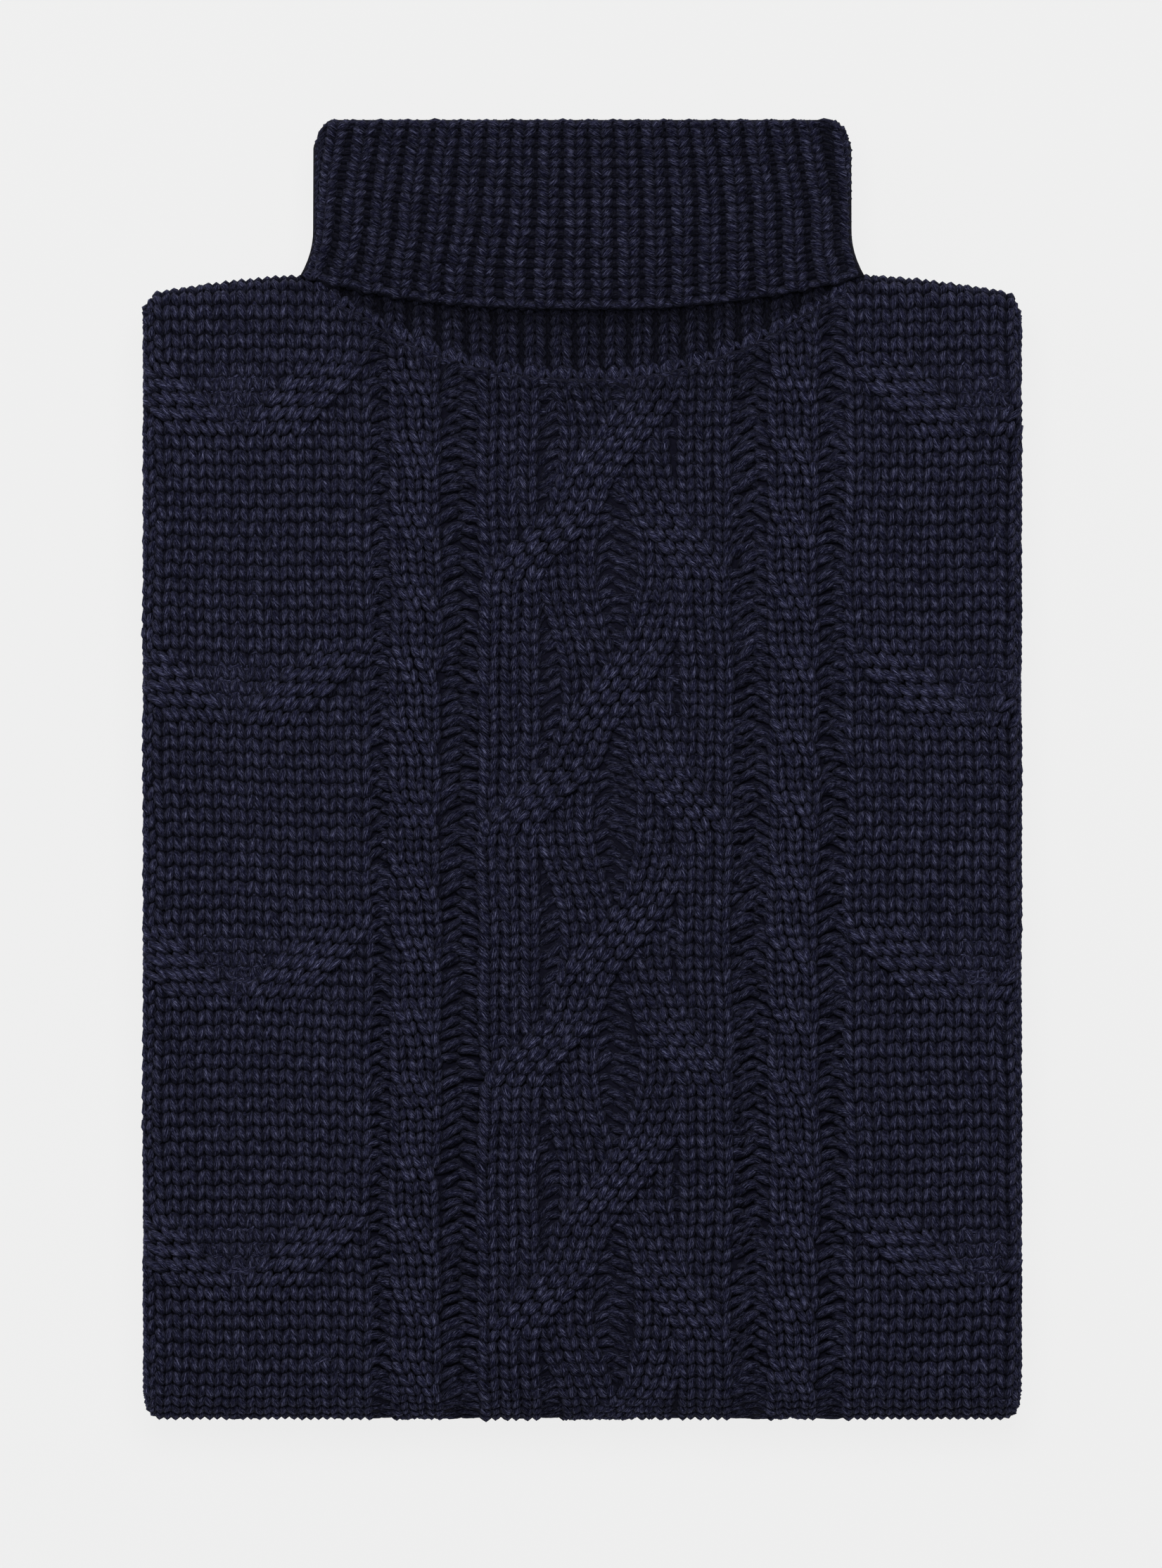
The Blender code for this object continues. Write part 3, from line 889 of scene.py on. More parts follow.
@dataclass
class FrontPanel:
    """The knitted front: its cables, its purl gutters, and the cloth under them."""

    form: FoldedForm = field(default_factory=FoldedForm)
    hem_start: float = 0.108
    panel_row: float = 0.00552
    braid_row: float = 0.00485
    rope_row: float = 0.00463
    purl_row: float = 0.00463
    low_lift: float = -0.0017
    plain_lift: float = 0.0009
    edge_overlap: float = 0.004
    limit_gap: float = 0.0008
    side_skew: float = 0.44
    head_room: float = 0.045
    most_rows: int = 210
    settling: int = 16
    horseshoes: tuple[float, ...] = (0.1423, 0.0319, -0.0744, -0.1850)
    side_crossings: tuple[float, ...] = (0.1823, 0.0857, -0.0112, -0.1081, -0.2036)
    centre_crossings: tuple[float, ...] = (0.1248, 0.0319, -0.0650, -0.1579, -0.2521)
    braid_axis: float = 0.0140
    rope_wale: float = 0.00646
    rope_start: float = 0.0117
    rope_repeat: float = 0.0272
    # Painted light and shade: strands raised over a crossing are brightened and dipped ones
    # darkened by this share.
    over_glow: float = 0.28
    # Painted shade below the roll neck: how far it reaches and how dark it gets.
    crease_depth: float = 0.011
    crease_shade: float = 0.40
    purl_pitch: float = 0.0066
    purl_girth: float = 0.00178
    # Painted shade: the sunken purl gutters are darkened, and the bumps lying under them more so.
    purl_shade: float = 0.74
    sunk_shade: float = 0.48
    purl_cover: float = 0.41
    purl_leans: tuple[float, float, float] = (0.50, -0.46, 0.15)
    purl_regions: tuple[PurlRegion, ...] = (
        PurlRegion(-0.1500, -0.1140, -0.0012),
        PurlRegion(-0.1010, -0.0815, -0.0002, doubled=True),
        PurlRegion(-0.0822, -0.0722, -0.0001, doubled=True),
        PurlRegion(-0.0740, -0.0540, -0.0010),
        PurlRegion(-0.0548, -0.0385, -0.0001, doubled=True),
        PurlRegion(-0.0400, 0.0560, 0.0000, doubled=True),
        PurlRegion(0.0555, 0.0722, -0.0001, doubled=True),
        PurlRegion(0.0712, 0.0905, -0.0010),
        PurlRegion(0.0892, 0.1030, -0.0001, doubled=True),
        PurlRegion(0.1015, 0.1210, -0.0002, doubled=True),
        PurlRegion(0.1340, 0.1700, -0.0012),
    )
    bridge_middles: tuple[float, ...] = (-0.1318, 0.1527)
    bridge_pitch: float = 0.0027
    bridge_half: float = 0.0125
    bridge_radius: float = 0.00175
    cloth_wall: float = 0.0009
    cloth_drop: float = 0.0010
    edge_fill: float = 0.0007
    plateaus: tuple[tuple[float, float], ...] = (
        (-0.26, -0.0815),
        (-0.0738, -0.0538),
        (-0.0385, 0.0565),
        (0.0716, 0.0905),
        (0.1015, 0.26),
    )
    side_columns: int = 24
    flat_columns: int = 57
    grid_parts: tuple[GridPart, ...] = (
        GridPart(0.0, 0.05, 10),
        GridPart(0.05, 0.48, 36),
        GridPart(0.48, 0.63, 36),
        GridPart(0.63, 1.0, 16),
    )

    def knit_lift(self, across: Array, along: Array, wanted: Array) -> Array:
        """Lowers a wanted lift towards the plain cloth where the front turns over its folds."""
        _, _, _, up = self.form.section(across)
        fold, radius = self.form.y_fold, self.form.fold_radius
        inside = smooth((along - fold + 0.8 * radius) / (1.2 * radius))
        up = np.maximum(up, 0.0)
        plain = np.minimum(wanted, self.plain_lift)
        rise = (plain - self.low_lift) * up**1.8 + (wanted - plain) * up**6
        return self.low_lift + inside * rise

    def panels(self) -> list[CableBand]:
        """The two wide horseshoe cables at the sides."""
        parts = ((0, Lean.LEFT), (2, Lean.RIGHT))
        crossings = [Crossing(y, slot, lean) for y in self.horseshoes for slot, lean in parts]
        return [
            CableBand(
                name,
                [Slot(first + pitch * number, wale) for number in range(4)],
                4,
                self.panel_row,
                0.0006,
                crossings,
                half_crossing=0.0175,
                edge_wales=edge,
                shape=PLAIN_LEG,
            )
            for name, first, pitch, wale, edge in (
                ("left_panel", -0.16979, 0.02537, 0.006343, (2, 0)),
                ("right_panel", 0.11390, 0.02583, 0.006458, (0, 0)),
            )
        ]

    def ropes(self) -> list[CableBand]:
        """The two rope cables, each of three columns."""
        places = [self.rope_start + self.rope_repeat * number for number in range(-11, 7)]
        return [
            CableBand(
                name,
                [Slot(middle + number * self.rope_wale, self.rope_wale) for number in (-1, 0, 1)],
                1,
                self.rope_row,
                0.0010,
                [Crossing(y, 0, Lean.LEFT, over=2) for y in places],
                half_crossing=0.0108,
                dip_reach=0.0070,
                over=0.0027,
                under=0.0018,
                tint=0.92,
            )
            for name, middle in (("left_rope", -0.0638), ("right_rope", 0.0809))
        ]

    def braid(self) -> CableBand:
        """The braid in the middle, of four strands."""
        slots = [
            Slot(-0.0279, 0.00785),
            Slot(-0.0060, 0.00750, drawn=0.45),
            Slot(0.0315, 0.00710, drawn=0.45),
            Slot(0.0470, 0.00690),
        ]
        crossings = [Crossing(y, 0, Lean.RIGHT) for y in self.side_crossings]
        crossings += [Crossing(y, 2, Lean.LEFT) for y in self.side_crossings]
        crossings += [Crossing(y, 1, Lean.RIGHT, reach=1.2) for y in self.centre_crossings]
        return CableBand(
            "braid",
            slots,
            3,
            self.braid_row,
            0.0008,
            crossings,
            half_crossing=0.0160,
            tint=0.91,
            waists=self.centre_crossings,
            axis=self.braid_axis,
        )

    def bands(self) -> list[CableBand]:
        """The five cable bands, left to right."""
        panels, ropes = self.panels(), self.ropes()
        return [panels[0], ropes[0], self.braid(), ropes[1], panels[1]]

    def limit(self, across: Array, along: Array) -> Array:
        """The farthest that a stitch reaches along the cloth."""
        return self.form.end_along(self.form.x_at(across)) - self.limit_gap

    def lowest(self, across: float) -> float:
        """The last place that a column shows: past the fold, or at the hem on the side rolls."""
        turned = self.form.y_fold - self.form.fold_length
        if abs(across) > self.form.flat_half - 0.004:
            turned = turned - (self.hem_start - self.form.y_fold)
        return turned - self.edge_overlap

    def knit_band(self, band: CableBand) -> YarnBatch:
        """Knits every wale of a band.

        Args:
            band: The band to knit.

        Returns:
            The batch of its yarn.
        """
        batch = YarnBatch("front_" + band.name + "_stitches", seed=len(band.name) * 7)
        stitcher = Stitcher(self.form, batch, self.limit, band.shape)
        every = zip(
            band.paths(), band.paths(band.past_swap), band.paths(-band.past_swap), strict=True
        )
        for path, late, early in every:
            starts = self.seen_rows(path, band.row)
            self.knit_rows(stitcher, band, path, starts[band.shown(path, starts + band.row / 2)])
            for other in (late, early):
                starts = self.seen_rows(other, band.row)
                middle = starts + band.row / 2
                apart = np.abs(other(middle)[0] - path(middle)[0]) > 0.001
                wanted = (apart | ~band.shown(path, middle)) & band.shown(other, middle)
                self.knit_rows(stitcher, band, other, starts[wanted])
        return batch

    def knit_rows(
        self, stitcher: Stitcher, band: CableBand, path: YarnPath, starts: Array
    ) -> None:
        """Knits the stitches of one wale of a band that start at the given places."""
        if not starts.size:
            return
        across, _, lift, wale = path(starts + band.row / 2)
        # Painted light and shade: raised strands brighter, dipped strands darker, and yarn below
        # the roll neck darker.
        raised = np.clip((lift - band.plateau) / band.over, -1.0, 1.0)
        tint = band.tint * (0.90 + self.over_glow * raised) * self.crease(across, starts)
        edge = band.edge(across, wale)
        stitcher.wale(self.lowered(path), starts, band.row, tint=tint[:, None], edge=edge)

    def crease(self, across: Array, along: Array) -> Array:
        """Painted shade on yarn close below the roll neck: its brightness, as a share of the rest.
        """
        x = self.form.x_at(across)
        near = smooth((self.form.neck_half + 0.016 - np.abs(x)) / 0.012)
        depth = np.maximum(self.form.end_along(x) - along, 0.0)
        return 1 - self.crease_shade * near * np.exp(-depth / self.crease_depth)

    def lowered(self, path: YarnPath) -> YarnPath:
        """A path whose lift follows the folds."""

        def follow(along: Array) -> tuple[Array, Array, Array, Array]:
            """Across, along, lift and wale width at distances along the wale."""
            across, place, lift, wale = path(along)
            sway = 0.0005 * np.sin(41 * along + 17 * across)
            sway = sway + 0.0004 * np.sin(97 * along - 29 * across)
            return across + sway, place, self.knit_lift(across, along, lift), wale

        return follow

    def seen_rows(self, path: YarnPath, row: float) -> Array:
        """Where one wale's stitches start, from the shoulder down to where none can be seen."""
        level = self.form.y_shoulder + self.head_room - row * np.arange(self.most_rows)
        found = []
        for place in (level, level - self.side_skew * (self.form.half_cloth - self.form.flat_half)):
            for _ in range(self.settling):
                place = level + self.sag(path(place)[0], level)
            found.append(place)
        starts = np.unique(np.round(np.concatenate(found), 5))[::-1]
        across = path(starts)[0]
        lowest = np.array([self.lowest(value) for value in across])
        end = self.form.end_along(self.form.x_at(across))
        seen = (starts > lowest) & (starts < end - 0.3 * row)
        return starts[seen & (np.abs(across) < self.form.half_cloth - 0.001)]

    def sag(self, across: Array, level: Array) -> Array:
        """How far a row lies from its level: it waves, and hangs back on the side folds."""
        waves = 0.0007 * np.sin(33 * across + 0.7) + 0.0005 * np.sin(71 * across + 19 * level)
        return waves - self.side_skew * np.maximum(np.abs(across) - self.form.flat_half, 0.0)

    def purl_ground(self) -> YarnBatch:
        """Lays the purl bumps of the gutters, of the ground below the cables, and by crossings."""
        batch = YarnBatch("front_purl_bumps", seed=11)
        stitcher = Stitcher(self.form, batch, self.limit)
        for region in self.purl_regions:
            self.purl_rows(stitcher, region, self.purl_shade)
            if region.doubled:
                self.purl_rows(stitcher, region.sunk(), self.sunk_shade)
        return batch

    def covered(self, across: Array, along: Array) -> Array:
        """Whether a strand lies on a place."""
        hidden = np.zeros(across.shape, bool)
        for band in self.bands():
            for delay in (-band.past_swap, band.past_swap):
                for path in band.paths(delay):
                    x, _, _, wale = path(along)
                    hidden |= np.abs(across - x) < self.purl_cover * wale
        return hidden

    def purl_rows(self, stitcher: Stitcher, region: PurlRegion, tint: float) -> None:
        """Lays rows of purl bumps between two edges: short arched yarns that lean in by turns.

        Args:
            stitcher: Lays the yarn.
            region: Where the bumps lie.
            tint: Brightness of the yarn.
        """
        row, noise = self.purl_row, stitcher.batch.random
        high, low = self.form.y_shoulder + 0.012, self.lowest(0.0)
        rows = high - row * np.arange(int((high - low) / row))
        humps = max(1, round((region.right - region.left) / self.purl_pitch))
        width = (region.right - region.left) / humps
        share = np.linspace(-1.0, 1.0, 5)[None]
        left_lean, right_lean, lone_lean = self.purl_leans
        one = (len(rows), 1)
        for number in range(humps):
            middle = region.left + width * (number + 0.5) + noise.normal(0, 0.0007, one)
            size = noise.uniform(0.80, 1.12, one)
            across = middle + 0.56 * size * width * share
            towards = left_lean if number < humps / 2 else right_lean
            lean = noise.normal(towards if humps > 1 else lone_lean, 0.20, one)
            offset = row * (0.5 * (number % 2) + noise.normal(0, 0.12, one))
            arch = lean * 0.56 * width * share
            along = rows[:, None] + offset + arch - 0.24 * row * share**2
            ends = self.limit(across, along)
            seen = along[:, 2] < ends[:, 2] + 0.001
            seen = seen & ~self.covered(across[:, 2], along[:, 2])
            along = np.minimum(along, ends)
            height = region.lift + 0.0007 - 0.0020 * share**2 + noise.normal(0, 0.0003, one)
            lift = self.knit_lift(across, along, height) - 0.0003
            girth = self.purl_girth * size * (1 - 0.34 * share**4)
            girth = girth * (1 + noise.normal(0, 0.07, one))
            # Painted shade: each bump darkens towards its ends, which dive under, and below the
            # roll neck.
            shade = tint * (1.0 - 0.60 * share**4) * self.crease(across, along)
            stitcher.strand(across[seen], along[seen], lift[seen], girth[seen], shade[seen])

    def bridges(self) -> YarnBatch:
        """Lays the stretched yarns that bridge each horseshoe's middle where its strands part."""
        batch = YarnBatch("front_bridge_yarns", seed=13)
        stitcher = Stitcher(self.form, batch, self.limit)
        share = np.linspace(-1.0, 1.0, 9)[None]
        level = self.bridge_pitch * np.arange(-4, 4)[:, None]
        for middle in self.bridge_middles:
            for y in self.horseshoes:
                rows = y + level + batch.random.normal(0, 0.0004, level.shape)
                across = middle + (self.bridge_half + 0.25 * np.maximum(rows - y, 0.0)) * share
                along = rows + 0.0020 * share**2 + 0.0008 * np.sin(3 * share + rows * 900)
                lift = self.knit_lift(across, along, -0.0002 - 0.0008 * share**2 + 0 * rows)
                girth = np.full(across.shape, self.bridge_radius)
                stitcher.strand(across, along, lift, girth, 0.85)
        return batch

    def plateau(self, across: Array) -> Array:
        """The lift of the cloth under the knitted bands and the gutters between them."""
        best = np.zeros_like(across)
        for left, right in self.plateaus:
            inside = np.minimum(across - left, right - across)
            best = np.maximum(best, smooth(inside / 0.003 + 0.5))
        return -0.0016 + 0.0020 * best

    def cloth(self) -> bpy.types.Object:
        """Makes the thin cloth shell under the stitches, round all the folds."""
        form = self.form
        side = np.linspace(form.flat_half, form.half_cloth, self.side_columns)
        flat = np.linspace(-form.flat_half, form.flat_half, self.flat_columns + 2)[1:-1]
        across = np.concatenate([-side[::-1], flat, side])
        parts = [
            np.linspace(part.start, part.stop, part.rows, endpoint=part.stop == 1.0)
            for part in self.grid_parts
        ]
        share = np.concatenate(parts)
        top = form.end_along(form.x_at(across)) - 0.0010
        bottom = form.y_fold - form.fold_length - (self.hem_start - form.y_fold) + 0.0005
        along = top[None, :] + share[:, None] * (bottom - top[None, :])
        wide = np.broadcast_to(across[None, :], along.shape)
        raised = self.plateau(wide) - self.cloth_drop
        edge = 1 - smooth((form.flatness(wide, along) - 0.45) / 0.45)
        lift = self.knit_lift(wide, along, raised) + self.edge_fill * edge
        points = form.place(wide, along, lift)
        return shell("front_cloth", points, self.cloth_wall, PAINTED_SHADE_CLOTH.material())


def grid_faces(number: Array) -> list[list[int]]:
    """Four-sided faces between neighbouring rows and columns of numbered points."""
    corners = [number[:-1, :-1], number[1:, :-1], number[1:, 1:], number[:-1, 1:]]
    return np.stack(corners, axis=-1).reshape(-1, 4).tolist()


def shell(
    name: str, points: Array, thickness: float, material: bpy.types.Material, closed: bool = False
) -> bpy.types.Object:
    """Makes a thin shell from a grid of points.

    Args:
        name: The object's name.
        points: Grid points, shaped (rows, columns, 3), with rows running against the wales.
        thickness: The shell's thickness, inwards.
        material: Its finish.
        closed: Whether the last column meets the first.

    Returns:
        The new object.
    """
    rows, columns = points.shape[:2]
    number = np.arange(rows * columns).reshape(rows, columns)
    if closed:
        number = np.concatenate([number, number[:, :1]], axis=1)
    mesh = bpy.data.meshes.new(name)
    mesh.from_pydata(points.reshape(-1, 3).tolist(), [], grid_faces(number))
    mesh.materials.append(material)
    made = linked(name, mesh)
    select_only(made)
    wall = made.modifiers.new("wall", "SOLIDIFY")
    wall.thickness = thickness
    wall.offset = -1.0
    bpy.ops.object.modifier_apply(modifier=wall.name)
    made.data.shade_smooth()
    return made


# The roll neck


@dataclass(frozen=True)
class NeckTube:
    """The roll neck's flat tube: across runs round it from the front's middle, along is world y."""

    form: FoldedForm = field(default_factory=FoldedForm)
    half: float = 0.1034
    thick_half: float = 0.0088
    centre_z: float = 0.0386
    flare: float = 0.0058
    flare_length: float = 0.0185
    droop: float = 0.0091
    droop_length: float = 0.078
    corner: float = 0.0075
    top: float = 0.2496
    fold: float = 0.0040
    inset: float = 0.0

    @property
    def flat(self) -> float:
        """Half width of the tube's flat sides."""
        return self.half - self.thick_half

    @property
    def girth(self) -> float:
        """Length once round the tube."""
        return 4 * self.flat + 2 * math.pi * self.thick_half

    def ring(self, across: Array, inset: Array) -> tuple[Array, Array]:
        """x, and height over the tube's middle, at a place round it and a depth in its wall."""
        round_half = self.girth / 2
        place = np.mod(across + round_half, self.girth) - round_half
        side, place = np.where(place < 0, -1.0, 1.0), np.abs(place)
        radius = self.thick_half - inset
        angle = np.clip((place - self.flat) / self.thick_half, 0.0, math.pi)
        back = np.maximum(place - self.flat - math.pi * self.thick_half, 0.0)
        x = np.minimum(place, self.flat) - back + radius * np.sin(angle)
        return side * x, radius * np.cos(angle)

    def flared(self, x: Array, y: Array) -> Array:
        """x with the flare at the tube's base."""
        flare = np.clip(1 - (y - self.form.y_shoulder) / self.flare_length, 0.0, 1.0)
        return x + np.sign(x) * self.flare * flare**2 * np.abs(x / self.half) ** 6

    def fold_along(self, across: Array) -> Array:
        """Where the top fold starts, at each place round the tube."""
        x, _ = self.ring(across, 0.0)
        past = np.maximum(np.abs(x) - (self.half - self.corner), 0.0)
        arc = np.sqrt(np.maximum(self.corner**2 - past**2, 0.0))
        return self.top - self.corner + arc - self.fold

    def place(self, across: Array, along: Array, lift: Array) -> Array:
        """World points of the tube's coordinates: past the top fold, along runs down inside."""
        start = self.fold_along(across)
        turn = np.clip((along - start) / self.fold, 0.0, math.pi)
        inside = np.maximum(along - start - math.pi * self.fold, 0.0)
        inset = self.inset + self.fold * (1 - np.cos(turn)) - lift * np.cos(turn)
        y = np.minimum(along, start) + (self.fold + lift) * np.sin(turn) - inside
        x, up = self.ring(across, inset)
        droop = self.droop * smooth((y - self.form.y_shoulder) / self.droop_length)
        return np.stack([self.flared(x, y), y, self.centre_z + up - droop], axis=-1)

    def flatness(self, across: Array, along: Array) -> Array:
        """1 on the tube's flats, and 0 round its sides and on its top fold."""
        turn = np.clip((along - self.fold_along(across)) / self.fold, 0.0, math.pi)
        _, up = self.ring(across, 0.0)
        return np.abs(np.clip(up / self.thick_half, -1.0, 1.0) * np.cos(turn))

    def relief(self, across: Array, along: Array) -> Array:
        """How deep the stitches are modelled, less where they form the outline."""
        return outline_relief(self.flatness(across, along))


@dataclass
class RollNeck:
    """The ribbed roll neck: its turn-down, the stand inside it, and the knitted-on neck seam."""

    form: FoldedForm = field(default_factory=FoldedForm)
    rows: int = 18
    row: float = 0.0040
    rib_count: int = 42
    front_ribs: int = 20
    rib_width: float = 0.0080
    hem_depth: float = 0.0127
    hem_power: float = 2.4
    clearance: float = 0.0008
    tuck: float = 0.0028
    tuck_width: float = 0.016
    rib_fullness: float = 0.256
    rib_tint: float = 0.69
    yarn_lift: float = -0.0021
    recess_lift: float = -0.0038
    recess_raise: float = 0.0018
    recess_radius: float = 0.00150
    edge_pitch: float = 0.0036
    stand_inset: float = 0.00445
    stand_lift: float = 0.0003
    stand_width: float = 0.0078
    stand_fullness: float = 0.230
    stand_recess: float = 0.0012
    stand_recess_width: float = 0.0050
    stand_recess_fullness: float = 0.27
    # Painted shade in the stand's recesses between its ribs.
    stand_recess_shade: float = 0.3
    seam_half: float = 0.0990
    seam_pitch: float = 0.0026
    chain_pitch: float = 0.0044
    chain_half: float = 0.0030
    cloth_wall: float = 0.0006
    columns: int = 168

    @property
    def outer(self) -> NeckTube:
        """The turn-down's outside."""
        return NeckTube(self.form)

    @property
    def inner(self) -> NeckTube:
        """The stand's outside."""
        return NeckTube(self.form, inset=self.stand_inset, fold=0.0030)

    def rib_centres(self) -> Array:
        """Places of the ribs round the tube, measured across the front and even behind."""
        number = np.arange(self.front_ribs)
        tube = self.outer
        x = -0.0993 + 0.01148 * number - 0.000120 * number**2 + 0.0000040 * number**3
        angle = np.arcsin(np.clip((np.abs(x) - tube.flat) / tube.thick_half, 0.0, 1.0))
        turned = np.sign(x) * (tube.flat + tube.thick_half * angle)
        place = np.where(np.abs(x) > tube.flat, turned, x)
        behind = self.rib_count - self.front_ribs
        gap = (tube.girth - (place[-1] - place[0])) / (behind + 1)
        return np.concatenate([place, place[-1] + gap * np.arange(1, behind + 1)])

    def hem(self, x: Array, front: Array) -> Array:
        """The y of the turn-down's lower edge."""
        share = np.minimum(np.abs(x) / self.outer.half, 1.0)
        curve = self.hem_depth * (1 - share**self.hem_power)
        tuck = self.tuck * smooth((self.form.neck_half - np.abs(x)) / self.tuck_width)
        return self.form.y_shoulder + self.clearance - np.where(front, curve, tuck)

    def drift(self, across: Array, along: Array) -> Array:
        """How far the ribs lean: in towards the top, and to the left low on the front's left."""
        x, up = self.outer.ring(across, 0.0)
        front = smooth(up / self.outer.thick_half + 0.5)
        middle = self.form.y_shoulder + 0.028
        lean = -0.05 * x * np.maximum(along - middle, 0.0) / 0.027
        low = smooth((middle - along) / 0.030)
        bent = 0.0042 * np.exp(-(((x + 0.042) / 0.026) ** 2)) + 0.0022 * smooth((-x - 0.05) / 0.03)
        return front * (lean - low * bent)

    def rib_path(self, centre: float) -> YarnPath:
        """The path of one rib, from the hem over the top fold and down inside."""
        tube = self.outer
        x, up = tube.ring(np.array(centre), 0.0)
        hem = float(self.hem(x, up > 0)) + 0.0004
        start = float(tube.fold_along(np.array(centre)))
        length = self.rows * self.row

        def path(where: Array) -> tuple[Array, Array, Array, Array]:
            """Across, along, lift and wale width at distances along the wale."""
            below = hem + (start - hem) * where / length
            along = np.where(where < length, below, start + where - length)
            across = centre + self.drift(centre + 0 * where, along)
            lift = self.yarn_lift - 0.0009 * (1 - tube.flatness(across, along))
            return across, along, lift, np.full_like(where, self.rib_width)

        return path

    def turndown(self) -> list[YarnBatch]:
        """Knits the turn-down's ribs and the purl recesses between them.

        Returns:
            The batches of its yarn.
        """
        ribs = YarnBatch("collar_turndown_ribs", seed=21)
        recesses = YarnBatch("collar_turndown_recesses", seed=22, sides=4)
        centres = self.rib_centres()
        after = np.append(centres[1:], centres[0] + self.outer.girth)
        for centre, following in zip(centres, after, strict=True):
            path, beyond = self.rib_path(float(centre)), self.rib_path(float(following))
            x, up = self.outer.ring(centre, 0.0)
            behind = up < 0 and abs(x) < self.outer.flat
            starts = self.row * np.arange(self.rows - 5 if behind else 0, self.rows + 4)
            stitcher = Stitcher(self.outer, ribs, shape=RIB_LEG)
            stitcher.wale(path, starts, self.row, fullness=self.rib_fullness, tint=self.rib_tint)
            self.recess(Stitcher(self.outer, recesses), path, beyond, starts)
        self.cast_off(Stitcher(self.outer, recesses))
        return [ribs, recesses]

    def cast_off(self, stitcher: Stitcher) -> None:
        """Lays the chain of short yarns that finishes the turn-down's lower edge."""
        place = np.arange(0.0, self.outer.girth, self.edge_pitch)[:, None]
        share = np.linspace(-1.0, 1.0, 5)[None]
        across = place + 0.72 * self.edge_pitch * share
        x, up = self.outer.ring(across, 0.0)
        noise = stitcher.batch.random.normal(0, 0.00015, place.shape)
        along = self.hem(x, up > 0) + 0.0016 - 0.0004 * share + noise
        lift = self.yarn_lift - 0.0001 - 0.0006 * share**2 + 0 * across
        girth = 0.00150 * (1 - 0.30 * share**4) + 0 * across
        # Painted shade: each chain yarn darkens towards its ends, where they dive under.
        stitcher.strand(across, along, lift, girth, 0.80 - 0.40 * share**4)

    def recess(self, stitcher: Stitcher, left: YarnPath, right: YarnPath, starts: Array) -> None:
        """Lays the purl yarn between two ribs, one for each row."""
        share = np.linspace(0.0, 1.0, 5)[None]
        first, last = left(starts[:, None] + 0 * share), right(starts[:, None] + 0 * share)
        inset = 0.30 * self.rib_width
        across = (first[0] + inset) * (1 - share) + (last[0] - inset) * share
        along = first[1] * (1 - share) + last[1] * share + 0.3 * self.row * np.sin(math.pi * share)
        raised = self.recess_raise * (1 - self.outer.flatness(across, along))
        lift = self.recess_lift + raised + 0.0009 * np.sin(math.pi * share)
        uneven = stitcher.batch.random.normal(0, 0.06, along.shape)
        # Painted shade: recesses are darkest where they lie deep between the ribs on the tube's
        # flats.
        tint = 0.20 + 0.62 * raised / self.recess_raise
        stitcher.strand(across, along, lift, self.recess_radius * (1 + uneven), tint)

    def stand(self) -> list[YarnBatch]:
        """Knits the part of the stand that shows below the turn-down, and the neck seam.

        Returns:
            The batches of its yarn.
        """
        ribs = YarnBatch("neck_stand_ribs", seed=23)
        seam = YarnBatch("neck_seam_stitches", seed=24)
        stitcher = Stitcher(self.inner, ribs)
        centres = self.rib_centres()[: self.front_ribs]
        centres = (centres + 0.5 * np.append(np.diff(centres), 0.0102)).tolist()
        for centre in centres:
            starts = self.stand_rows(centre)
            path = straight(centre, self.yarn_lift + self.stand_lift, self.stand_width)
            # Painted shadow of the turn-down on the stand.
            tint = self.stand_shade(centre, starts)
            stitcher.wale(path, starts, self.row, Facing.INVERTED, self.stand_fullness, tint)
        for centre, following in zip(centres[:-1], centres[1:], strict=True):
            middle = (centre + following) / 2
            starts = self.stand_rows(middle)
            lift = self.yarn_lift + self.stand_lift - self.stand_recess
            path = straight(middle, lift, self.stand_recess_width)
            # Painted shade: the stand's recesses are darker still.
            tint = self.stand_recess_shade * self.stand_shade(middle, starts)
            fullness = self.stand_recess_fullness
            stitcher.wale(path, starts, self.row, Facing.INVERTED, fullness, tint)
        self.seam_row(Stitcher(self.inner, seam))
        return [ribs, seam]

    def stand_rows(self, centre: float) -> Array:
        """Where one column of the stand starts its stitches, down to the neck seam."""
        low = float(self.form.neck_seam(np.array(centre))) + 0.0050
        high = float(self.hem(np.array(centre), np.array(True))) + 0.0100
        return high - self.row * np.arange(max(int((high - low) / self.row) + 1, 0))

    def stand_shade(self, centre: float, starts: Array) -> Array:
        """Painted shadow of the turn-down on the stand: darkest in the crease just below its edge.
        """
        below = float(self.hem(np.array(centre), np.array(True))) - starts
        return (0.26 + 0.37 * smooth((below + 0.001) / 0.010))[:, None]

    def seam_slope(self, x: Array) -> Array:
        """The slope of the neck seam at each x."""
        step = 0.002
        seam = self.form.neck_seam
        return (seam(x + step) - seam(x - step)) / (2 * step)

    def seam_row(self, stitcher: Stitcher) -> None:
        """Knits the plump row along the neck seam, and the slanted chain below it."""
        noise = stitcher.batch.random
        share = np.linspace(-1.0, 1.0, 5)[None]
        x = np.arange(-self.seam_half, self.seam_half + 0.0001, self.seam_pitch)[:, None]
        hand = np.where(np.arange(len(x)) % 2 == 0, 1.0, -1.0)[:, None]
        size = 1 + 0.25 * np.sin(2 * math.pi * x / 0.0103) + noise.normal(0, 0.06, x.shape)
        across = x + hand * 0.0009 * share + noise.normal(0, 0.0002, x.shape)
        slant = self.seam_slope(x) * hand * 0.0009 * share
        along = self.form.neck_seam(x) + 0.0026 + 0.0023 * size * share + slant
        lift = -0.0008 - 0.0012 * share**2 + 0 * across
        girth = 0.00150 * size * (1 - 0.35 * share**4)
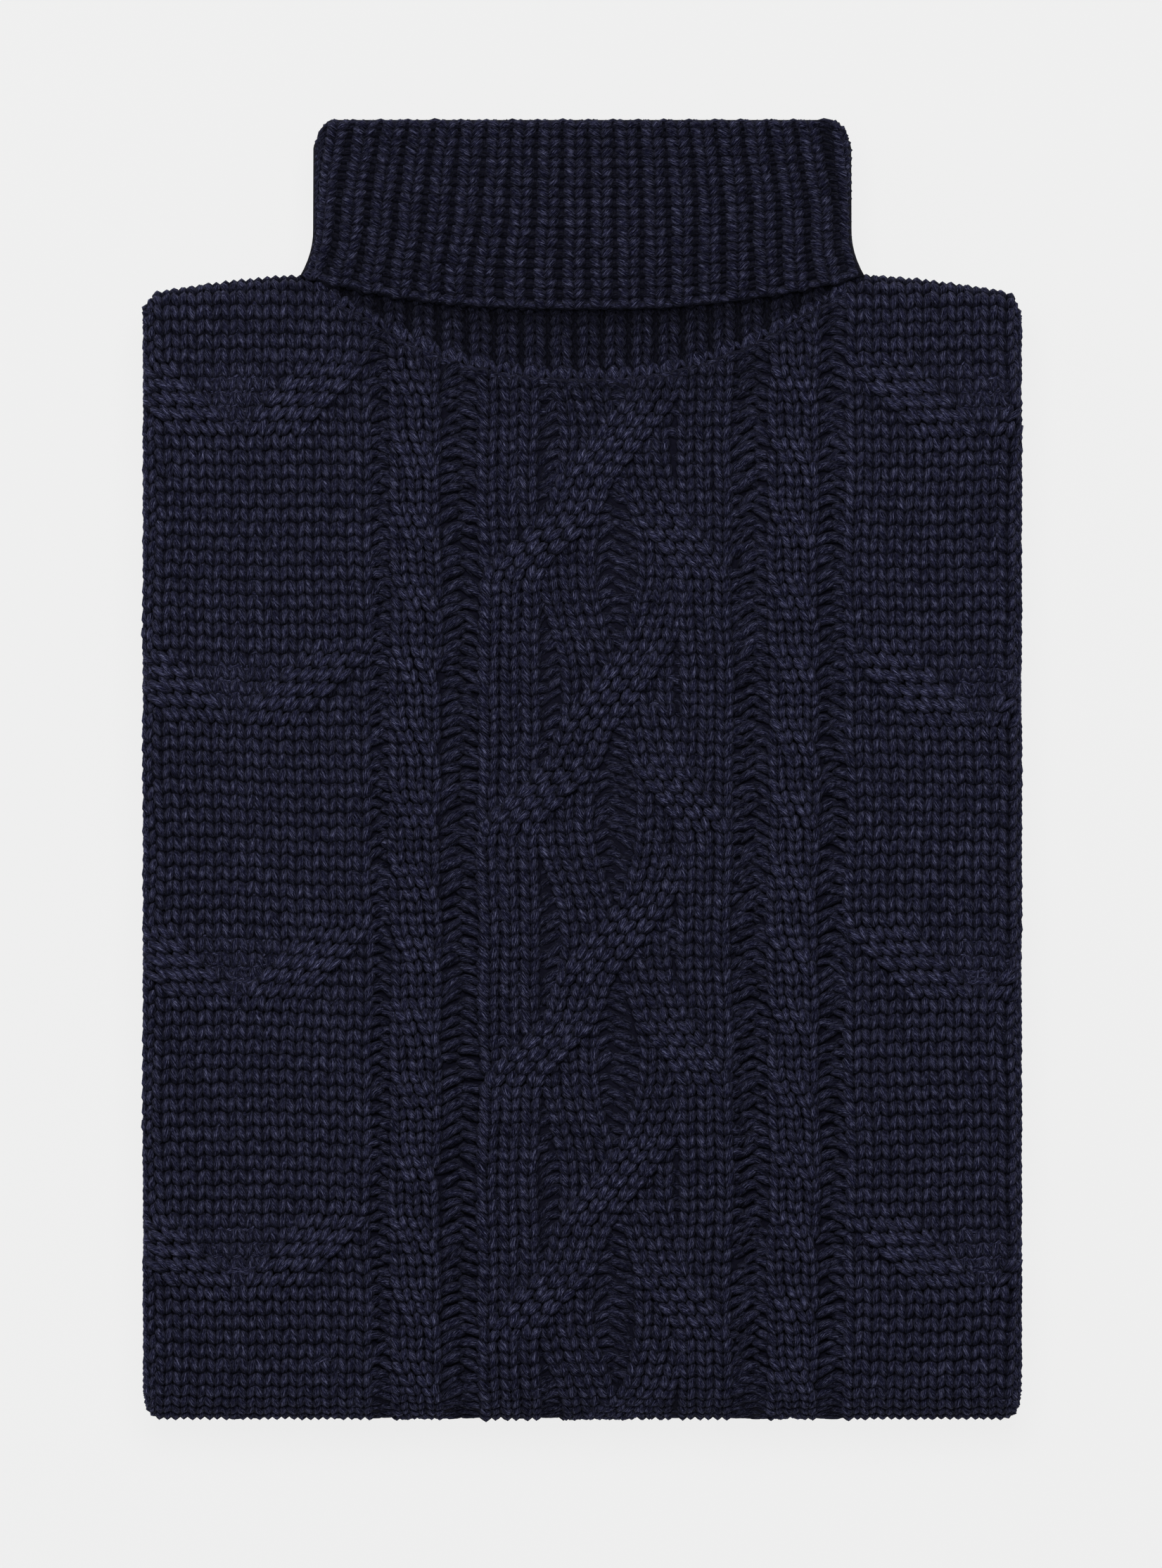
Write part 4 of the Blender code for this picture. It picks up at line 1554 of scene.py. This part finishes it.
        # Painted shade: the seam yarns darken towards their ends, where they dive under.
        stitcher.strand(across, along, lift, girth, 1.0 - 0.6 * share**4)
        x = np.arange(-self.seam_half, self.seam_half + 0.0001, self.chain_pitch)[:, None]
        across = x + self.chain_half * share
        slant = self.seam_slope(x) * self.chain_half * share
        along = self.form.neck_seam(x) + slant - 0.0010 * share - 0.0008
        lift = -0.0004 - 0.0011 * share**2 + 0 * across
        girth = 0.00145 * (1 - 0.35 * share**4) + 0 * across
        # Painted shade: the chain yarns darken towards their ends, where they dive under.
        stitcher.strand(across, along, lift, girth, 0.95 - 0.5 * share**4)

    def turndown_cloth(self) -> bpy.types.Object:
        """Makes the thin cloth under the turn-down's yarn, folded over into the mouth."""
        tube = self.outer
        across = np.linspace(0.0, tube.girth, self.columns, endpoint=False)
        x, up = tube.ring(across, 0.0)
        hem = self.hem(x, up > 0) + 0.0003
        start = tube.fold_along(across)
        share = np.linspace(0.0, 1.0, 17)[:, None]
        front = hem + (start - hem) * share
        over = start + share[1:] * (math.pi * tube.fold + 0.0100)
        along = np.concatenate([front, over])[::-1]
        wide = np.broadcast_to(across, along.shape)
        lift = self.yarn_lift - 0.0011 + 0.0030 * (1 - tube.flatness(wide, along))
        points = tube.place(wide, along, lift)
        finish = PAINTED_SHADE_CLOTH.material()
        return shell("collar_turndown_cloth", points, self.cloth_wall, finish, closed=True)

    def stand_cloth(self) -> bpy.types.Object:
        """Makes the thin cloth of the stand, from the neck seam up inside the turn-down."""
        tube = self.inner
        across = np.linspace(0.0, tube.girth, self.columns, endpoint=False)
        x, up = tube.ring(across, 0.0)
        back = self.hem(x, np.full(x.shape, False))
        front = self.form.neck_seam(tube.flared(x, self.form.y_shoulder + 0 * x))
        low = np.where(up > 0, front, back)
        high = tube.fold_along(across) - 0.0030
        share = np.linspace(1.0, 0.0, 21)[:, None]
        along = low + 0.0004 + (high - low) * share
        wide = np.broadcast_to(across, along.shape)
        points = tube.place(wide, along, np.full(along.shape, self.yarn_lift - 0.0009))
        finish = PAINTED_SHADE_CLOTH.material()
        return shell("neck_stand_cloth", points, self.cloth_wall, finish, closed=True)


# The hem and the folded layers


@dataclass
class HemBand:
    """The ribbed hem, folded under, which shows at the end and along both side folds."""

    form: FoldedForm = field(default_factory=FoldedForm)
    start: float = 0.108
    end: float = 0.168
    row: float = 0.0043
    pitch: float = 0.0098
    rib_width: float = 0.0068
    rib_fullness: float = 0.24
    rib_tint: float = 0.9
    lift: float = -0.0028
    cloth_wall: float = 0.0008
    shown_rows: int = 4

    def under(self, y: Array | float) -> Array | float:
        """The place along the cloth that lies under a world y."""
        return self.form.y_fold - self.form.fold_length - (y - self.form.y_fold)

    def edge(self, across: Array) -> Array:
        """The world y of the hem's edge."""
        return np.minimum(self.end, self.form.shoulder_axis(self.form.x_at(across)) + 0.0004)

    def ribs(self) -> YarnBatch:
        """Knits the hem's ribs: all of them at its edge, and the outer ones all along it."""
        batch = YarnBatch("hem_ribs", seed=31)
        stitcher = Stitcher(self.form, batch)
        count = int(2 * self.form.half_cloth / self.pitch)
        for number in range(count):
            centre = (number - (count - 1) / 2) * self.pitch
            edge = float(self.edge(np.array(centre))) - 0.0006
            rows = int((edge - self.start) / self.row)
            if abs(centre) < self.form.flat_half - 0.012:
                rows = self.shown_rows
            starts = self.under(edge - self.row * (np.arange(rows) + 1))
            path = straight(centre, self.lift, self.rib_width)
            facing, fullness = Facing.INVERTED, self.rib_fullness
            stitcher.wale(path, starts, self.row, facing, fullness, self.rib_tint)
        return batch

    def cloth(self) -> bpy.types.Object:
        """Makes the thin cloth of the hem."""
        across = np.linspace(-self.form.half_cloth, self.form.half_cloth, 109)
        high = self.under(self.start + 0.0003 + 0 * across)
        low = self.under(self.edge(across) - 0.0004)
        share = np.linspace(0.0, 1.0, 25)[:, None]
        along = high + (low - high) * share
        wide = np.broadcast_to(across, along.shape)
        points = self.form.place(wide, along, np.full(along.shape, self.lift))
        return shell("hem_rib_cloth", points, self.cloth_wall, PAINTED_SHADE_CLOTH.material())


@dataclass(frozen=True)
class Layer:
    """One hidden layer of knit between the front and the table: its heights and where it ends."""

    low: float
    high: float
    set_back: float
    upper: bool

    @property
    def radius(self) -> float:
        """Half the layer's thickness."""
        return (self.high - self.low) / 2 - 0.00015

    @property
    def middle(self) -> float:
        """The layer's middle height."""
        return (self.high + self.low) / 2


@dataclass(frozen=True)
class LayerSheet:
    """The outside of one layer: along runs from its top, round its rolled end, to its underside."""

    layer: Layer
    form: FoldedForm

    def end(self, x: Array) -> Array:
        """The y that the layer's end reaches."""
        axis = self.form.shoulder_axis(x)
        if self.layer.upper:
            return axis + 0.9 * 0.0067 - self.layer.set_back
        return np.minimum(0.167, axis) - self.layer.set_back

    def place(self, across: Array, along: Array, lift: Array) -> Array:
        """World points: along is 0 at the rolled end's middle and grows towards the underside."""
        radius = self.layer.radius
        turn = np.clip(along / radius, -math.pi / 2, math.pi / 2)
        back = np.maximum(np.abs(along) - math.pi / 2 * radius, 0.0)
        y = self.end(across) - radius + (radius + lift) * np.cos(turn) - back
        z = self.form.bundle + self.layer.middle - (radius + lift) * np.sin(turn)
        return np.stack([across + 0 * along, y, z], axis=-1)

    def relief(self, across: Array, along: Array) -> Array:
        """How deep the stitches are modelled: in full."""
        return np.ones(np.broadcast(across, along).shape)


class LayerStack(NamedTuple):
    """Layers on top of each other: the stack's heights, and how far each layer is set back."""

    low: float
    high: float
    set_backs: tuple[float, ...]


@dataclass
class FoldedLayers:
    """The back, the sleeves and the sides, folded away: their layers show at the shoulder end."""

    form: FoldedForm = field(default_factory=FoldedForm)
    stacks: tuple[LayerStack, ...] = (
        LayerStack(-0.0177, -0.0005, (0.004, 0.001, 0.006, 0.003)),
        LayerStack(0.0005, 0.011, (0.003, 0.0014)),
    )
    wale: float = 0.0063
    fullness: float = 0.215
    tint: float = 0.8
    yarn_lift: float = -0.0012
    cloth_lift: float = -0.0009
    fold_y: float = -0.215
    half_width: float = 0.1595

    def layers(self) -> list[Layer]:
        """The layers, lowest first."""
        found = []
        for low, high, set_backs in self.stacks:
            thick = (high - low) / len(set_backs)
            for number, set_back in enumerate(set_backs):
                top = low + (number + 1) * thick
                found.append(Layer(low + number * thick, top, set_back, low > 0))
        return found

    def stitches(self) -> YarnBatch:
        """Knits the stitches that show on the layers' rolled ends."""
        batch = YarnBatch("folded_layer_stitches", seed=41, sides=4)
        for layer in self.layers():
            sheet = LayerSheet(layer, self.form)
            stitcher = Stitcher(sheet, batch)
            count = int(2 * (self.half_width - 0.003) / self.wale)
            row = math.pi * layer.radius / (1 if layer.radius < 0.0022 else 2) * 0.95
            offset = batch.random.uniform(-0.5, 0.5) * row * 0.3
            for number in range(count):
                centre = (number - (count - 1) / 2) * self.wale
                starts = offset + row * (np.arange(-1, 2) - 0.45)
                path = straight(centre, self.yarn_lift, self.wale)
                stitcher.wale(path, starts, row, fullness=self.fullness, tint=self.tint)
        return batch

    def cloth(self) -> bpy.types.Object:
        """Makes the layers themselves, each a flat doubled cloth with rolled ends.

        Returns:
            One mesh of all the layers.
        """
        rings = []
        across = np.linspace(-self.half_width, self.half_width, 49)
        for layer in self.layers():
            sheet = LayerSheet(layer, self.form)
            bend = np.linspace(-1.0, 1.0, 13) * math.pi / 2 * layer.radius
            far = bend[-1] + 0.002
            along = np.concatenate([[-far], bend, [far]])[:, None]
            wide = np.broadcast_to(across, (len(along), len(across)))
            near = sheet.place(wide, along, np.full(wide.shape, self.cloth_lift))
            level = near[..., 2] - self.form.bundle
            reach = self.form.fold_radius - 0.0035 - np.abs(layer.middle) * 0.5
            tail = near[::-1].copy()
            tail[..., 1] = self.fold_y - 0.3 * reach * (1 - np.abs(layer.middle) / 0.018)
            tail[..., 2] = self.form.bundle + level[::-1]
            loop = np.concatenate([near, tail[:1], tail[-1:]])
            rings.append(loop)
        return stacked("folded_layers_cloth", rings, PAINTED_SHADE_CLOTH.material())


def stacked(name: str, loops: list[Array], material: bpy.types.Material) -> bpy.types.Object:
    """Makes closed slabs from loops of rows, each loop lofted across and capped at both sides.

    Args:
        name: The object's name.
        loops: For each slab, its rows in order round its section, shaped (rows, columns, 3).
        material: Its finish.

    Returns:
        The new object.
    """
    points: list[Array] = []
    faces: list[list[int]] = []
    start = 0
    for loop in loops:
        rows, columns = loop.shape[:2]
        number = start + np.arange(rows * columns).reshape(rows, columns)
        number = np.concatenate([number, number[:1]])
        faces += grid_faces(number)
        faces += [number[:-1, 0][::-1].tolist(), number[:-1, -1].tolist()]
        points.append(loop.reshape(-1, 3))
        start += rows * columns
    mesh = bpy.data.meshes.new(name)
    mesh.from_pydata(np.concatenate(points).tolist(), [], faces)
    mesh.materials.append(material)
    made = linked(name, mesh)
    select_only(made)
    bpy.ops.object.mode_set(mode="EDIT")
    bpy.ops.mesh.select_all(action="SELECT")
    bpy.ops.mesh.normals_make_consistent(inside=False)
    bpy.ops.object.mode_set(mode="OBJECT")
    bpy.ops.object.shade_smooth_by_angle(angle=math.radians(50))
    return made


# The studio


class SoftLight(NamedTuple):
    """A square light: its name, where it stands, its side, and its power in watts."""

    name: str
    place: tuple[float, float, float]
    side: float
    power: float


@dataclass
class Studio:
    """A pale floor, soft light, and a camera straight above."""

    lights: tuple[SoftLight, ...] = (
        SoftLight("overhead_light", (-0.02, 0.55, 1.9), 0.9, 25.6),
        SoftLight("side_light", (-1.4, 0.6, 1.1), 1.0, 4.0),
    )
    floor_glow: float = 0.82
    air_glow: float = 0.21
    frame_height: float = 0.6003
    centre: tuple[float, float] = (-0.0005, -0.0058)
    top: float = 0.044
    distance: float = 4.8
    sensor: float = 36.0

    def build(self) -> None:
        """Makes the floor, the lights, the camera and the light of the air."""
        self.floor()
        for light in self.lights:
            self.light(light)
        self.camera()
        self.air()

    def floor(self) -> None:
        """Makes the pale floor."""
        bpy.ops.mesh.primitive_plane_add(size=6.0, location=(0.0, 0.0, -0.0005))
        floor = bpy.context.object
        floor.name = "studio_floor"
        made = Shading("studio_floor", roughness=1.0, specular=0.0)
        made.set("Base Color", (0.05, 0.05, 0.05, 1.0))
        made.set("Emission Color", (1.0, 1.0, 1.0, 1.0))
        made.set("Emission Strength", self.floor_glow)
        floor.data.materials.append(made.material)

    def light(self, light: SoftLight) -> None:
        """Makes one soft light that looks at the sweater."""
        data = bpy.data.lights.new(light.name, "AREA")
        data.size = light.side
        data.energy = light.power
        made = linked(light.name, data)
        made.location = light.place
        made.rotation_euler = (-Vector(light.place)).to_track_quat("-Z", "Y").to_euler()

    def camera(self) -> None:
        """Makes the camera that looks straight down."""
        data = bpy.data.cameras.new("camera")
        data.sensor_fit = "AUTO"
        data.sensor_width = self.sensor
        data.lens = self.sensor * (self.distance - self.top) / self.frame_height
        made = linked("camera", data)
        made.location = (self.centre[0], self.centre[1], self.distance)
        bpy.context.scene.camera = made

    def air(self) -> None:
        """Makes the faint light that comes from everywhere."""
        world = bpy.data.worlds.new("studio_air")
        world.use_nodes = True
        air = world.node_tree.nodes["Background"]
        air.inputs["Color"].default_value = (1.0, 1.0, 1.0, 1.0)
        air.inputs["Strength"].default_value = self.air_glow
        bpy.context.scene.world = world
        bpy.context.scene.view_settings.view_transform = "Standard"


def attach(piece: bpy.types.Object, slot: str, *nodes: str) -> bpy.types.Object:
    """Makes a piece ride on the sweater and stand for solids, which it hides.

    Args:
        piece: The piece.
        slot: Not used.
        nodes: The solids that it replaces.

    Returns:
        The same piece.
    """
    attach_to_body(piece, "root")
    if nodes:
        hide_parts(*nodes)
    LOG.info("%s: %d faces", piece.name, len(piece.data.polygons))
    return piece


def main() -> None:
    """Builds the sweater's pieces in order, then the studio."""
    logging.basicConfig(level=logging.INFO, format="%(name)s: %(message)s")
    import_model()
    wool = NAVY_WOOL.material()
    front = FrontPanel()
    cloth = attach(front.cloth(), "cable_knit", "front")
    yarns = [front.knit_band(band) for band in front.bands()]
    yarns += [front.purl_ground(), front.bridges()]
    dressed = [attach(batch.build(wool), "cable_knit") for batch in yarns]
    neck = RollNeck()
    turndown = attach(neck.turndown_cloth(), "rib_knit", "collar_turndown")
    dressed = [attach(batch.build(wool), "rib_knit") for batch in neck.turndown()]
    stand = attach(neck.stand_cloth(), "rib_knit", "neck_stand")
    dressed = [attach(batch.build(wool), "rib_knit") for batch in neck.stand()]
    hem = HemBand()
    band = attach(hem.cloth(), "rib_knit", "hem_rib")
    dressed = [attach(hem.ribs().build(wool), "rib_knit")]
    layers = FoldedLayers()
    stack = attach(layers.cloth(), "plain_knit", "folded_layers")
    dressed = [attach(layers.stitches().build(wool), "plain_knit")]
    Studio().build()


if __name__ == "__main__":
    main()
